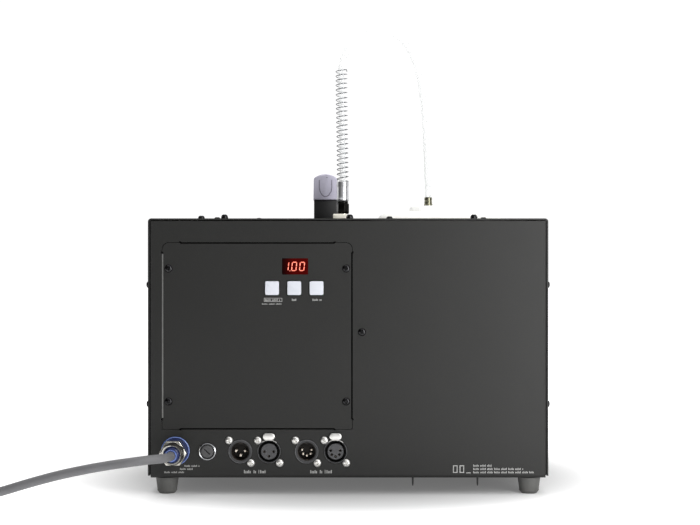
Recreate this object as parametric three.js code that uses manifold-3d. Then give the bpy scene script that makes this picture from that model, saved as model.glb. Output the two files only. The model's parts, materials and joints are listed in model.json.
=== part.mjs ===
// Fog machine: a sheet-steel housing with its controls, signal sockets and mains lead on the rear face,
// a carrying handle and a feed-hose fitting on top, and a fluid canister that lifts out of a well.
// Millimetres. Facing the rear panel, +X is to the right, +Y runs through to the outlet in the front
// panel and +Z is up. The origin is on the ground under the middle of the machine.
import * as THREE from "three";
import { mergeVertices } from "three/addons/utils/BufferGeometryUtils.js";
import Module from "manifold-3d";

const wasm = await Module();
wasm.setup();

// Driving dimensions of the housing.
const WIDTH = 360;
const DEPTH = 290;
const FOOT_HEIGHT = 15;
const TOP = 248.4;
const SHEET = 1.5;
const BEND = 3;
const SEAM = 0.9;
const GAP = 0.3;
// How far the cord gland and the fog nozzle stand out of the two end panels.
const GLAND_REACH = 38;
const NOZZLE_REACH = 12;
const REAR = (GLAND_REACH - DEPTH - NOZZLE_REACH) / 2;
const FRONT = REAR + DEPTH;
const HALF = WIDTH / 2;
const INSIDE_Z = FOOT_HEIGHT + SHEET;

// Service panel in the rear wall, with the display and three keys.
const SERVICE = { left: -167, right: 3.7, low: 58.9, high: 226.5, corner: 6, gap: 0.4 };
// Its edges are set back between round reliefs that stop short of the corners.
const SETBACK = 0.9;
const RELIEF = { radius: 1.3, side: 8.6, end: 15.8 };
const DISPLAY = { x: -47.7, z: 205.2, width: 22.9, height: 14 };
const KEYS = { xs: [-68.4, -48.4, -28.4], z: 185.7, size: 12.85, corner: 1.1, proud: 1.8 };
const BOARD_Y = REAR + 14;

// Sockets, fuse and gland along the foot of the rear wall.
const SOCKET_Z = 38.7;
const SOCKETS = [
  { name: "signal_in_3", x: -97, pins: 3, male: true },
  { name: "signal_out_3", x: -71.1, pins: 3, male: false },
  { name: "signal_in_5", x: -37.3, pins: 5, male: true },
  { name: "signal_out_5", x: -11.3, pins: 5, male: false },
];
const SOCKET = { male: 10.6, female: 10.05, bore: 7.85, body: 12, depth: 24, latchRise: 13.5 };
const FUSE = { x: -126.4, z: 39 };
const GLAND = { x: -155.2, z: 39.4 };
const CORD = 8;

// Carrying handle, a bridge that runs from rear to front on the cover.
const HANDLE = { x: -21.5, width: 22, rear: REAR + 75, front: REAR + 215, shoulder: 268, top: 292.6 };

// Feed hose: it leaves a fitting on the cover in a spring guard and ends on the canister's cap.
const HOSE = 6;
const FITTING = { x: -5, y: REAR + 45 };
const GUARD = { radius: 5.75, low: 284, high: 388.5 };
const CAP = { x: 81, y: REAR + 120, radius: 22, low: 244.8, high: 263.6, inlet: -3 };
const HOSE_ROUTE = [
  [-5, 45, 284], [-5.4, 45, 322.3], [-6.1, 45, 359.4], [-6.3, 45.2, 387.7],
  [-4, 47, 398.6], [-0.35, 50, 407.4], [5.9, 56, 415.7], [14.9, 64, 422], [25.4, 74, 426],
  [37, 85, 428.1], [45.8, 92, 426.6], [54.2, 100, 420.5], [61.6, 106, 409.8], [67.7, 111, 394.4],
  [72, 115, 372.6], [74.5, 117, 349.4], [75.8, 118.5, 324.2], [77, 119.5, 297], [77.9, 120, 272.6],
];

// Canister, 5 litres, and the well that it stands in.
const CANISTER = { left: 27, right: 148, rear: REAR + 62, front: REAR + 246, low: 17, high: 257 };
const CANISTER_WALL = 2;
const NECK = { outer: 18.5, inner: 16.5, low: 241.3, high: 260.3 };
const WELL_MARGIN = 2.5;

// Fog heater behind the nozzle, and the fan beside it.
const HEATER = { x: -95, z: 150, half: 30, rear: REAR + 92, front: REAR + 247 };
const FAN = { x: 90, z: 110, size: 80, depth: 25, rotor: 36.5 };
const PUMP = { x: -122, y: REAR + 57, z: 46 };

// The mains lead: round to the left and down to the ground, a coil there, and its plug.
const CORD_ROUTE = [
  [-155.2, -170.3, 39.4], [-155.3, -177, 39.5], [-156.9, -185.6, 39.8], [-161.5, -195.2, 40.1],
  [-169.2, -203, 40.3], [-179.2, -208.3, 39.6], [-190.5, -210.6, 38.3], [-201.5, -211, 36.8],
  [-221, -211, 33.4], [-245, -210.5, 28.3], [-270, -210, 21.6], [-297, -209.4, 13.6],
  [-320, -208.8, 8.2], [-342, -208.4, 5.4], [-362, -208.1, 4.7], [-382, -208, 4.6],
];
// Two layers of turns, each a cord's width from the next, lifted by the tie that runs under them.
const COIL = { x: -412, y: -158, inner: 29.5, outer: 54.2, first: 50, last: 52, low: 4.6, high: 12.8, stub: 30 };
const TAIL_BEND = 42;
const RUN = 4;
const PLUG = { radius: 18, length: 38, relief: 22, pin: 19 };

const FINISHES = {
  powder: [0x3b3b3a, 0.6, 0.1],
  zinc: [0xb5b7b8, 0.4, 0.9],
  nickel: [0xcfd0cf, 0.25, 1],
  chrome: [0xdcdde0, 0.12, 1],
  aluminium: [0xa9abad, 0.45, 0.9],
  rubber: [0x2b2b2b, 0.85, 0],
  blackPlastic: [0x1d1d1e, 0.5, 0],
  greyPlastic: [0xa9a6b5, 0.5, 0],
  paleKey: [0xe2e4ef, 0.35, 0],
  bluePlastic: [0x6f93c0, 0.4, 0],
  redLens: [0x2c0503, 0.15, 0],
  ivory: [0xe8e4d4, 0.5, 0],
  canister: [0xeeeee6, 0.45, 0],
  hose: [0xe6eaec, 0.3, 0],
  cord: [0x8f9092, 0.6, 0],
  board: [0x1f5a35, 0.6, 0],
  iron: [0x55504a, 0.6, 0.7],
};

const machine = new THREE.Group();

function add(name, geometry, finish, at = [0, 0, 0]) {
  const [color, roughness, metalness] = FINISHES[finish];
  const mesh = new THREE.Mesh(geometry, new THREE.MeshStandardMaterial({ color, roughness, metalness }));
  mesh.name = name;
  mesh.position.set(...at);
  machine.add(mesh);
}

// A closed geometry as a solid that can be joined and cut, without its flat slivers.
function solid(geometry) {
  const bare = geometry.clone();
  bare.deleteAttribute("normal");
  bare.deleteAttribute("uv");
  const merged = mergeVertices(bare, 1e-4);
  const corners = merged.index.array;
  const triangles = [];
  for (let i = 0; i < corners.length; i += 3) {
    const [a, b, c] = corners.slice(i, i + 3);
    if (a !== b && b !== c && c !== a) triangles.push(a, b, c);
  }
  return new wasm.Manifold(new wasm.Mesh({
    numProp: 3,
    vertProperties: new Float32Array(merged.attributes.position.array),
    triVerts: new Uint32Array(triangles),
  }));
}

function surface(body) {
  const mesh = body.getMesh();
  const geometry = new THREE.BufferGeometry();
  geometry.setAttribute("position", new THREE.BufferAttribute(new Float32Array(mesh.vertProperties), 3));
  geometry.setIndex(new THREE.BufferAttribute(new Uint32Array(mesh.triVerts), 1));
  return geometry;
}

function join(...geometries) {
  return surface(geometries.map(solid).reduce((whole, next) => whole.add(next)));
}

function cut(geometry, ...cutters) {
  return surface(cutters.map(solid).reduce((rest, cutter) => rest.subtract(cutter), solid(geometry)));
}

function block(x0, x1, y0, y1, z0, z1) {
  const box = new THREE.BoxGeometry(x1 - x0, y1 - y0, z1 - z0);
  return box.translate((x0 + x1) / 2, (y0 + y1) / 2, (z0 + z1) / 2);
}

function roundedRectangle(x0, x1, y0, y1, lower, upper = lower) {
  const shape = new THREE.Shape();
  const quarter = Math.PI / 2;
  shape.absarc(x1 - upper, y1 - upper, upper, 0, quarter, false);
  shape.absarc(x0 + upper, y1 - upper, upper, quarter, 2 * quarter, false);
  shape.absarc(x0 + lower, y0 + lower, lower, 2 * quarter, 3 * quarter, false);
  shape.absarc(x1 - lower, y0 + lower, lower, 3 * quarter, 4 * quarter, false);
  return shape;
}

// An outline drawn in X and Z, filled from y0 to y1.
function slab(outline, y0, y1, curveSegments = 5) {
  const body = new THREE.ExtrudeGeometry(outline, { depth: y1 - y0, bevelEnabled: false, curveSegments });
  return body.rotateX(Math.PI / 2).translate(0, y1, 0);
}

// An outline drawn in Y and Z, filled from x0 to x1.
function rib(outline, x0, x1, curveSegments = 5) {
  const body = new THREE.ExtrudeGeometry(outline, { depth: x1 - x0, bevelEnabled: false, curveSegments });
  const toSide = new THREE.Matrix4().makeBasis(
    new THREE.Vector3(0, 1, 0), new THREE.Vector3(0, 0, 1), new THREE.Vector3(1, 0, 0));
  return body.applyMatrix4(toSide).translate(x0, 0, 0);
}

// A profile of [radius, height] pairs turned about an axis; the height runs along "+X", "+Y", "-Y" or "+Z".
function turned(profile, axis, segments = 20) {
  const body = new THREE.LatheGeometry(profile.map(([r, h]) => new THREE.Vector2(r, h)), segments);
  if (axis === "+X") body.rotateZ(-Math.PI / 2);
  if (axis === "-Y") body.rotateX(Math.PI);
  if (axis === "+Z") body.rotateX(Math.PI / 2);
  return surface(solid(body));
}

function rod(radius, low, high, axis, segments) {
  return turned([[0, low], [radius, low], [radius, high], [0, high]], axis, segments);
}

function hexRod(acrossFlats, low, high, axis) {
  return rod(acrossFlats / Math.sqrt(3), low, high, axis, 6);
}

// A round tube along a route; a bore leaves it hollow.
function tube(route, radius, steps, sides, bore = 0) {
  const path = new THREE.CatmullRomCurve3(route.map((p) => new THREE.Vector3(...p)), false, "centripetal");
  const section = new THREE.Shape();
  section.absarc(0, 0, radius, 0, 2 * Math.PI, false);
  if (bore > 0) {
    const hole = new THREE.Path();
    hole.absarc(0, 0, bore, 0, 2 * Math.PI, true);
    section.holes.push(hole);
  }
  return surface(solid(new THREE.ExtrudeGeometry(section, {
    steps, extrudePath: path, bevelEnabled: false, curveSegments: sides,
  })));
}

function serviceOutline(grow) {
  return roundedRectangle(SERVICE.left - grow, SERVICE.right + grow, SERVICE.low - grow, SERVICE.high + grow,
    1.5, SERVICE.corner);
}

// Places of the reliefs: two on each edge of the service panel.
function reliefs() {
  const { left, right, low, high } = SERVICE;
  const across = [left + RELIEF.end, right - RELIEF.end];
  const up = [low + RELIEF.side, high - RELIEF.side];
  return [...across.flatMap((x) => [[x, low], [x, high]]), ...up.flatMap((z) => [[left, z], [right, z]])];
}

// The strips set back from the service panel's edges, between its reliefs.
function setbacks() {
  const { left, right, low, high } = SERVICE;
  const y = [REAR - 1, REAR + SHEET + 1];
  const sides = [[left, 1], [right, -1]].map(([x, inward]) => {
    const edges = [x - inward, x + SETBACK * inward].sort((a, b) => a - b);
    return block(...edges, ...y, low + RELIEF.side, high - RELIEF.side);
  });
  const ends = [[low, 1], [high, -1]].map(([z, inward]) => {
    const edges = [z - inward, z + SETBACK * inward].sort((a, b) => a - b);
    return block(left + RELIEF.end, right - RELIEF.end, ...y, ...edges);
  });
  return [...sides, ...ends];
}

// Base and rear wall, bent from one sheet.
function addChassis() {
  const side = HALF - SHEET - SEAM;
  const high = TOP - SHEET - SEAM;
  const front = FRONT - SHEET - GAP;
  const bendY = REAR + BEND;
  const bendZ = FOOT_HEIGHT + BEND;
  const profile = new THREE.Shape();
  profile.moveTo(front, FOOT_HEIGHT);
  profile.lineTo(bendY, FOOT_HEIGHT);
  profile.absarc(bendY, bendZ, BEND, 1.5 * Math.PI, Math.PI, true);
  profile.lineTo(REAR, high);
  profile.lineTo(REAR + SHEET, high);
  profile.absarc(bendY, bendZ, BEND - SHEET, Math.PI, 1.5 * Math.PI, false);
  profile.lineTo(front, INSIDE_Z);
  const cutters = [slab(serviceOutline(SERVICE.gap), REAR - 1, REAR + SHEET + 1)];
  for (const socket of SOCKETS) {
    const hole = rod(SOCKET.male + 0.4, REAR - 1, REAR + SHEET + 1, "+Y");
    cutters.push(hole.translate(socket.x, 0, SOCKET_Z));
    if (!socket.male) cutters.push(latchSlot(socket.x));
  }
  cutters.push(rod(7, REAR - 1, REAR + SHEET + 1, "+Y").translate(FUSE.x, 0, FUSE.z));
  cutters.push(rod(8.2, REAR - 1, REAR + SHEET + 1, "+Y").translate(GLAND.x, 0, GLAND.z));
  for (const [x, z] of reliefs()) {
    cutters.push(rod(RELIEF.radius, REAR - 1, REAR + SHEET + 1, "+Y", 12).translate(x, 0, z));
  }
  for (let i = 0; i < 8; i += 1) {
    const y = REAR + 130 + 12 * i;
    cutters.push(block(-150, -90, y, y + 3.5, FOOT_HEIGHT - 1, INSIDE_Z + 1));
  }
  add("chassis", cut(rib(profile, -side, side), ...cutters), "powder");
}

// Frame behind the service panel that its screws hold to.
function addServiceFrame() {
  const rim = roundedRectangle(SERVICE.left - 4, SERVICE.right + 4, SERVICE.low - 4, SERVICE.high + 4, 3);
  rim.holes.push(roundedRectangle(SERVICE.left + 15, SERVICE.right - 15, SERVICE.low + 11, SERVICE.high - 7, 3));
  const y = REAR + SHEET + GAP;
  add("service_frame", slab(rim, y, y + SHEET), "powder");
}

function addServicePanel() {
  const plate = slab(serviceOutline(0), REAR, REAR + SHEET);
  const window = block(DISPLAY.x - DISPLAY.width / 2 - GAP, DISPLAY.x + DISPLAY.width / 2 + GAP,
    REAR - 1, REAR + SHEET + 1, DISPLAY.z - DISPLAY.height / 2 - GAP, DISPLAY.z + DISPLAY.height / 2 + GAP);
  const keyHoles = KEYS.xs.map((x) => {
    const reach = KEYS.size / 2 + GAP;
    return slab(roundedRectangle(x - reach, x + reach, KEYS.z - reach, KEYS.z + reach, KEYS.corner + GAP),
      REAR - 1, REAR + SHEET + 1);
  });
  add("service_panel", cut(plate, window, ...keyHoles, ...setbacks()), "powder");
}

// Top and both sides, bent from one sheet, with the mouth of the canister's well.
function addCover() {
  const inner = HALF - SHEET;
  const low = FOOT_HEIGHT + 2;
  const profile = new THREE.Shape();
  profile.moveTo(-HALF, low);
  profile.lineTo(-HALF, TOP - BEND);
  profile.absarc(-HALF + BEND, TOP - BEND, BEND, Math.PI, Math.PI / 2, true);
  profile.absarc(HALF - BEND, TOP - BEND, BEND, Math.PI / 2, 0, true);
  profile.lineTo(HALF, low);
  profile.lineTo(inner, low);
  profile.absarc(HALF - BEND, TOP - BEND, BEND - SHEET, 0, Math.PI / 2, false);
  profile.absarc(-HALF + BEND, TOP - BEND, BEND - SHEET, Math.PI / 2, Math.PI, false);
  profile.lineTo(-inner, low);
  const mouth = new THREE.ExtrudeGeometry(
    roundedRectangle(CANISTER.left - WELL_MARGIN, CANISTER.right + WELL_MARGIN,
      CANISTER.rear - WELL_MARGIN, CANISTER.front + WELL_MARGIN, 20),
    { depth: 2 * BEND, bevelEnabled: false, curveSegments: 6 }).translate(0, 0, TOP - BEND);
  const fittingHole = rod(4.5, TOP - BEND, TOP + BEND, "+Z", 20).translate(FITTING.x, FITTING.y, 0);
  add("cover", cut(slab(profile, REAR, FRONT, 6), mouth, fittingHole), "powder");
}

function addFrontPanel() {
  const side = HALF - SHEET - SEAM;
  const plate = block(-side, side, FRONT - SHEET, FRONT, INSIDE_Z + GAP, TOP - SHEET - SEAM);
  const cutters = [rod(10.5, FRONT - 5, FRONT + 5, "+Y", 24).translate(HEATER.x, 0, HEATER.z)];
  for (let i = -4; i <= 4; i += 1) {
    const x = FAN.x + 7.5 * i;
    const half = Math.sqrt(FAN.rotor ** 2 - (7.5 * i) ** 2) - 2;
    cutters.push(block(x - 1.75, x + 1.75, FRONT - 5, FRONT + 5, FAN.z - half, FAN.z + half));
  }
  add("front_panel", cut(plate, ...cutters), "powder");
}

// Walls beside the well, each with a foot flange turned away from the canister.
function addWellWalls() {
  for (const [name, x, away] of [["divider_wall", 19, -1], ["well_wall", 157, 1]]) {
    const y0 = REAR + SHEET + 2.5;
    const y1 = FRONT - SHEET - 1;
    const wall = block(x - SHEET / 2, x + SHEET / 2, y0, y1, INSIDE_Z + GAP, TOP - SHEET - 2);
    const flange = block(Math.min(x, x + 14 * away), Math.max(x, x + 14 * away), y0, y1,
      INSIDE_Z + GAP, INSIDE_Z + GAP + SHEET);
    add(name, join(wall, flange), "zinc");
  }
}

function addFeet() {
  const profile = [[0, 0], [7.2, 0], [8.9, 2.4], [10.4, FOOT_HEIGHT - GAP], [0, FOOT_HEIGHT - GAP]];
  for (const [end, y] of [["rear", REAR + 13], ["front", FRONT - 13]]) {
    for (const [side, x] of [["left", -164], ["right", 164]]) {
      add(`foot_${end}_${side}`, turned(profile, "+Z", 16), "rubber", [x, y, 0]);
    }
  }
}

// Bridge handle with a cap over each end.
function addHandle() {
  const { rear, front, shoulder, top } = HANDLE;
  const foot = TOP + GAP;
  const reach = 17;
  const underside = top - 17;
  const body = new THREE.Shape();
  body.moveTo(rear + 3, foot);
  body.lineTo(rear + 3, shoulder - GAP);
  body.lineTo(rear + reach + GAP, shoulder - GAP);
  body.lineTo(rear + reach + GAP, top - 4);
  body.quadraticCurveTo((rear + front) / 2, top + 1, front - reach - GAP, top - 4);
  body.lineTo(front - reach - GAP, shoulder - GAP);
  body.lineTo(front - 3, shoulder - GAP);
  body.lineTo(front - 3, foot);
  body.lineTo(front - 25, foot);
  body.absarc(front - 35, underside - 10, 10, 0, Math.PI / 2, false);
  body.absarc(rear + 35, underside - 10, 10, Math.PI / 2, Math.PI, false);
  body.lineTo(rear + 25, foot);
  const half = HANDLE.width / 2;
  add("handle", rib(body, HANDLE.x - half, HANDLE.x + half, 8), "blackPlastic");
  const wide = half + 0.5;
  const face = new THREE.Shape();
  face.moveTo(HANDLE.x - wide, shoulder);
  face.lineTo(HANDLE.x + wide, shoulder);
  face.lineTo(HANDLE.x + wide, top - 5);
  face.quadraticCurveTo(HANDLE.x + wide, top - 3, HANDLE.x + wide - 1.8, top - 2.5);
  face.quadraticCurveTo(HANDLE.x, top + 2.5, HANDLE.x - wide + 1.8, top - 2.5);
  face.quadraticCurveTo(HANDLE.x - wide, top - 3, HANDLE.x - wide, top - 5);
  add("handle_cap_rear", slab(face, rear, rear + reach), "greyPlastic");
  add("handle_cap_front", slab(face, front - reach, front), "greyPlastic");
}

// The display's lens in its window, with the module behind it.
function addDisplay() {
  const { x, z, width, height } = DISPLAY;
  const lens = block(x - width / 2, x + width / 2, REAR + 0.4, REAR + 4, z - height / 2, z + height / 2);
  const module = block(x - 15, x + 15, REAR + SHEET + GAP, BOARD_Y - GAP, z - 9.5, z + 9.5);
  add("display", join(lens, module), "redLens");
}

function addKeys() {
  KEYS.xs.forEach((x, i) => {
    const half = KEYS.size / 2;
    const cap = slab(roundedRectangle(x - half, x + half, KEYS.z - half, KEYS.z + half, KEYS.corner),
      REAR - KEYS.proud, REAR + 3.2);
    const stem = block(x - 2.5, x + 2.5, REAR + 3, BOARD_Y - 1, KEYS.z - 2.5, KEYS.z + 2.5);
    add(`key_${i + 1}`, join(cap, stem), "paleKey");
  });
}

function addControlBoard() {
  add("control_board", block(-100, -8, BOARD_Y, BOARD_Y + 1.6, 174, 218), "board");
}

function latchSlot(x) {
  const z = SOCKET_Z + SOCKET.latchRise;
  return block(x - 3.2, x + 3.2, REAR - 1, REAR + 9, z - 2.2, z + 2.2);
}

// Angles of a socket's contacts: three round the lower half of the face, or five along its lower arc.
function contactAngles(count) {
  const degrees = count === 3 ? [180, 270, 360] : [168, 219, 270, 321, 372];
  return degrees.map((d) => THREE.MathUtils.degToRad(d));
}

// A panel socket fixed from inside: its ring fills the hole and its flange stays behind the wall.
function addSocket({ name, x, pins, male }) {
  const ring = male ? SOCKET.male : SOCKET.female;
  const mouth = REAR - 0.6;
  const behind = REAR + SHEET + GAP;
  const contactRadius = pins === 3 ? 4.1 : 4.4;
  const flange = block(-12.8, 12.8, behind, behind + 2, -15.5, 15.5);
  let body = join(rod(ring, mouth, behind + 1, "+Y"), flange, rod(SOCKET.body, behind, behind + SOCKET.depth, "+Y"));
  if (male) {
    const floor = mouth + 15;
    body = cut(body, rod(SOCKET.bore, mouth - 1, floor, "+Y"));
    const contacts = contactAngles(pins).map((a) =>
      rod(1.2, mouth + 5.6, floor + 1, "+Y", 10)
        .translate(contactRadius * Math.cos(a), 0, contactRadius * Math.sin(a)));
    body = join(body, ...contacts);
  } else {
    const groove = turned([[7.9, mouth - 1], [8.9, mouth - 1], [8.9, mouth + 12], [7.9, mouth + 12],
      [7.9, mouth - 1]], "+Y");
    const holes = contactAngles(pins).map((a) =>
      rod(1.35, mouth - 1, mouth + 9, "+Y", 10)
        .translate(contactRadius * Math.cos(a), 0, contactRadius * Math.sin(a)));
    body = cut(body, groove, ...holes, latchSlot(0).translate(0, 0, -SOCKET_Z));
  }
  add(name, body, "blackPlastic", [x, 0, SOCKET_Z]);
  if (!male) addLatch(`${name}_latch`, x);
}

// The release tab above a socket: a rounded plate on a stem.
function addLatch(name, x) {
  const z = SOCKET_Z + SOCKET.latchRise;
  const tab = slab(roundedRectangle(x - 5.4, x + 5.4, z - 3.15, z + 3.15, 2.4), REAR - 4.2, REAR - 2);
  const stem = block(x - 2.5, x + 2.5, REAR - 2.2, REAR + 5, z - 1.6, z + 1.6);
  add(name, join(tab, stem), "nickel");
}

function addFuse() {
  const holder = turned([[0, -30], [5.8, -30], [6.5, 0], [7.65, GAP], [7.65, 2.6], [7, 3], [5.9, 3],
    [5.9, -18], [0, -18]], "-Y");
  const cap = rod(5.6, -12, 3.6, "-Y", 24);
  const slot = block(-6, 6, -4.6, -3, -0.7, 0.7).rotateY(-Math.PI / 4);
  add("fuse_holder", holder, "nickel", [FUSE.x, REAR, FUSE.z]);
  add("fuse_cap", cut(cap, slot), "blackPlastic", [FUSE.x, REAR, FUSE.z]);
}

// Cord gland: washer and hexagon against the wall, domed nut, and the seal that grips the lead.
function addGland() {
  const at = [GLAND.x, REAR, GLAND.z];
  const stub = rod(7.8, -12, 4, "-Y", 24);
  add("gland_body", join(stub, hexRod(22, 2.4, 10, "-Y")), "nickel", at);
  add("gland_washer", turned([[8.3, GAP], [12.8, GAP], [12.8, 2.1], [8.3, 2.1], [8.3, GAP]], "-Y"),
    "bluePlastic", at);
  add("gland_locknut", cut(hexRod(21, -5, -SHEET - GAP, "-Y"), rod(8.1, -6, 0, "-Y", 24)), "nickel", at);
  add("gland_nut", turned([[0, 10.3], [10.4, 10.3], [10.4, 20], [9.4, 27], [7.4, 32], [0, 32]], "-Y"),
    "nickel", at);
  add("gland_seal", turned([[0, 32.3], [6, 32.3], [5.6, 35.5], [5.1, GLAND_REACH], [0, GLAND_REACH]], "-Y"),
    "bluePlastic", at);
}

// Hose fitting on the cover: block, union nut, sleeve and the closed outer shape of the spring guard.
function addHoseFitting() {
  const at = [FITTING.x, FITTING.y, 0];
  const seat = block(-9, 4, -8, 8, TOP + GAP, 253.6);
  add("fitting_block", join(seat, rod(4, 236, TOP + 1, "+Z", 20)), "ivory", at);
  add("fitting_nut", hexRod(11, 253.9, 265.5, "+Z"), "chrome", at);
  add("hose_sleeve", turned([[0, 265.8], [5.4, 265.8], [6, 267.2], [6, 282.2], [5.6, 283.7], [0, 283.7]], "+Z"),
    "chrome", at);
  const route = HOSE_ROUTE.slice(0, 4).map(([x, y, z]) => [x, REAR + y, z]);
  add("hose_guard", tube(route, GUARD.radius, 8, 5, HOSE / 2 + 0.6), "chrome");
}

function addHose() {
  const route = HOSE_ROUTE.map(([x, y, z]) => [x, REAR + y, z]);
  add("hose", tube(route, HOSE / 2, 30, 5), "hose");
  const base = CAP.high + GAP;
  const ferrule = turned([[0, base], [4.4, base], [3.8, base + 2.4], [3.8, base + 7.4], [3.3, base + 8.4],
    [0, base + 8.4]], "+Z", 20);
  add("hose_ferrule", ferrule, "nickel", [CAP.x + CAP.inlet, CAP.y, 0]);
}

// The bottle's body, smaller by an inset on every side; the top edge is rolled over.
function canisterBody(inset) {
  const roll = 12;
  const outline = roundedRectangle(CANISTER.left + inset + roll, CANISTER.right - inset - roll,
    CANISTER.rear + inset + roll, CANISTER.front - inset - roll, 10);
  const height = CANISTER.high - CANISTER.low - 2 * inset - 2 * roll;
  return new THREE.ExtrudeGeometry(outline, {
    depth: height, bevelEnabled: true, bevelSize: roll, bevelThickness: roll, bevelSegments: 3,
    curveSegments: 3,
  }).translate(0, 0, CANISTER.low + inset + roll);
}

function addCanister() {
  const seat = rod(28, NECK.low + 2, CANISTER.high + 5, "+Z").translate(CAP.x, CAP.y, 0);
  const cellar = rod(30, NECK.low - CANISTER_WALL, CANISTER.high, "+Z").translate(CAP.x, CAP.y, 0);
  const neck = rod(NECK.outer, NECK.low + 1, NECK.high, "+Z").translate(CAP.x, CAP.y, 0);
  const bore = rod(NECK.inner, NECK.low - 5, NECK.high + 1, "+Z").translate(CAP.x, CAP.y, 0);
  const outside = join(cut(canisterBody(0), seat), neck);
  const inside = cut(canisterBody(CANISTER_WALL), cellar);
  add("canister", cut(outside, inside, bore), "canister");
  const cap = turned([[0, CAP.low + 16], [NECK.outer + 0.6, CAP.low + 16], [NECK.outer + 0.6, CAP.low],
    [CAP.radius, CAP.low], [CAP.radius, CAP.high - 1], [CAP.radius - 1, CAP.high], [0, CAP.high]], "+Z", 24);
  add("canister_cap", cap, "canister", [CAP.x, CAP.y, 0]);
  add("pickup_tube", rod(3, 46, NECK.high - 1, "+Z", 12), "hose", [CAP.x, CAP.y, 0]);
  add("pickup_filter", rod(9, CANISTER.low + CANISTER_WALL + 2, 45.7, "+Z", 20), "nickel", [CAP.x, CAP.y, 0]);
}

// Heater block with its sheet shield, sensor and nozzle.
function addHeater() {
  const { x, z, half, rear, front } = HEATER;
  add("heater_block", block(x - half, x + half, rear, front, z - half, z + half), "aluminium");
  const shell = new THREE.Shape();
  const reach = half + 14;
  shell.moveTo(x - reach, z - reach);
  shell.lineTo(x - reach, z + reach);
  shell.lineTo(x + reach, z + reach);
  shell.lineTo(x + reach, z - reach);
  shell.lineTo(x + reach - SHEET, z - reach);
  shell.lineTo(x + reach - SHEET, z + reach - SHEET);
  shell.lineTo(x - reach + SHEET, z + reach - SHEET);
  shell.lineTo(x - reach + SHEET, z - reach);
  add("heater_shield", slab(shell, rear - 8, front + 20), "zinc");
  add("thermostat", rod(8, 0, 9, "+Z", 20), "aluminium", [x, rear + 50, z + half + GAP]);
  const tip = FRONT + NOZZLE_REACH;
  const nozzle = turned([[0, front + GAP], [9.8, front + GAP], [9.8, FRONT + GAP], [17, FRONT + GAP],
    [17, FRONT + 3], [12, FRONT + 4], [7.5, tip], [4.5, tip], [4.5, FRONT - 15], [0, FRONT - 15]], "+Y");
  add("nozzle", nozzle, "zinc", [x, 0, z]);
}

// Solenoid pump: a body with a bore, and the plunger that works in it.
function addPump() {
  const body = join(block(-26, 26, -16, 16, -16, 16), rod(5, -34, -25, "+X", 16), rod(5, 25, 33, "+X", 16));
  const bore = rod(6.4, -18, 20, "+X", 20);
  const inlet = rod(2.2, 19, 40, "+X", 12);
  add("pump_body", cut(body, bore, inlet), "blackPlastic", [PUMP.x, PUMP.y, PUMP.z]);
  add("pump_plunger", rod(6, -12, 14, "+X", 20), "iron", [PUMP.x, PUMP.y, PUMP.z]);
}

function addFan() {
  const half = FAN.size / 2;
  const y1 = FRONT - SHEET - GAP;
  const y0 = y1 - FAN.depth;
  const frame = cut(slab(roundedRectangle(-half, half, -half, half, 5), y0, y1),
    rod(FAN.rotor + 1.5, y0 - 1, y0 + FAN.depth - 3, "+Y", 32),
    rod(FAN.rotor - 1, y1 - 5, y1 + 1, "+Y", 32));
  const spider = [0, 1, 2].map((i) =>
    block(-2, 2, y1 - 2.8, y1, 0, half - 2).rotateY((2 * Math.PI * i) / 3));
  add("fan_frame", join(frame, rod(15, y1 - 2.8, y1, "+Y", 24), ...spider), "blackPlastic", [FAN.x, 0, FAN.z]);
  const blades = [];
  for (let i = 0; i < 7; i += 1) {
    const blade = block(-9, 9, -0.9, 0.9, 12, FAN.rotor).rotateZ(THREE.MathUtils.degToRad(32));
    blades.push(blade.rotateY((2 * Math.PI * i) / 7).translate(0, y0 + 10, 0));
  }
  add("fan_rotor", join(rod(15, y0 + 2, y1 - 3.4, "+Y", 24), ...blades), "blackPlastic", [FAN.x, 0, FAN.z]);
}

function addPowerParts() {
  add("power_board", block(12, 13.6, REAR + 70, REAR + 210, 60, 170), "board");
  add("transformer", block(-40, -4, REAR + 150, REAR + 205, INSIDE_Z + GAP, 64), "iron");
}

// Hoses inside the housing: fitting to pump, and pump to heater.
function addInnerHoses() {
  const feed = [[FITTING.x, FITTING.y, 235.6], [FITTING.x - 1, FITTING.y, 205], [-20, FITTING.y + 2, 150],
    [-45, FITTING.y + 5, 100], [-66, PUMP.y - 2, 58], [-74, PUMP.y, 48.5], [-81, PUMP.y, PUMP.z],
    [-88.6, PUMP.y, PUMP.z]];
  add("feed_hose", tube(feed, 3, 16, 5), "hose");
  const delivery = [[-156.4, PUMP.y, PUMP.z], [-161, PUMP.y, PUMP.z], [-168, PUMP.y + 1, 54],
    [-168, PUMP.y + 4, 78], [-158, PUMP.y + 6, 112], [-130, PUMP.y + 8, 140],
    [HEATER.x - 6, HEATER.rear - 20, HEATER.z - 1], [HEATER.x, HEATER.rear - 12, HEATER.z],
    [HEATER.x, HEATER.rear - 6, HEATER.z], [HEATER.x, HEATER.rear - GAP, HEATER.z]];
  add("delivery_hose", tube(delivery, 2.2, 20, 4), "hose");
}

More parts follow.
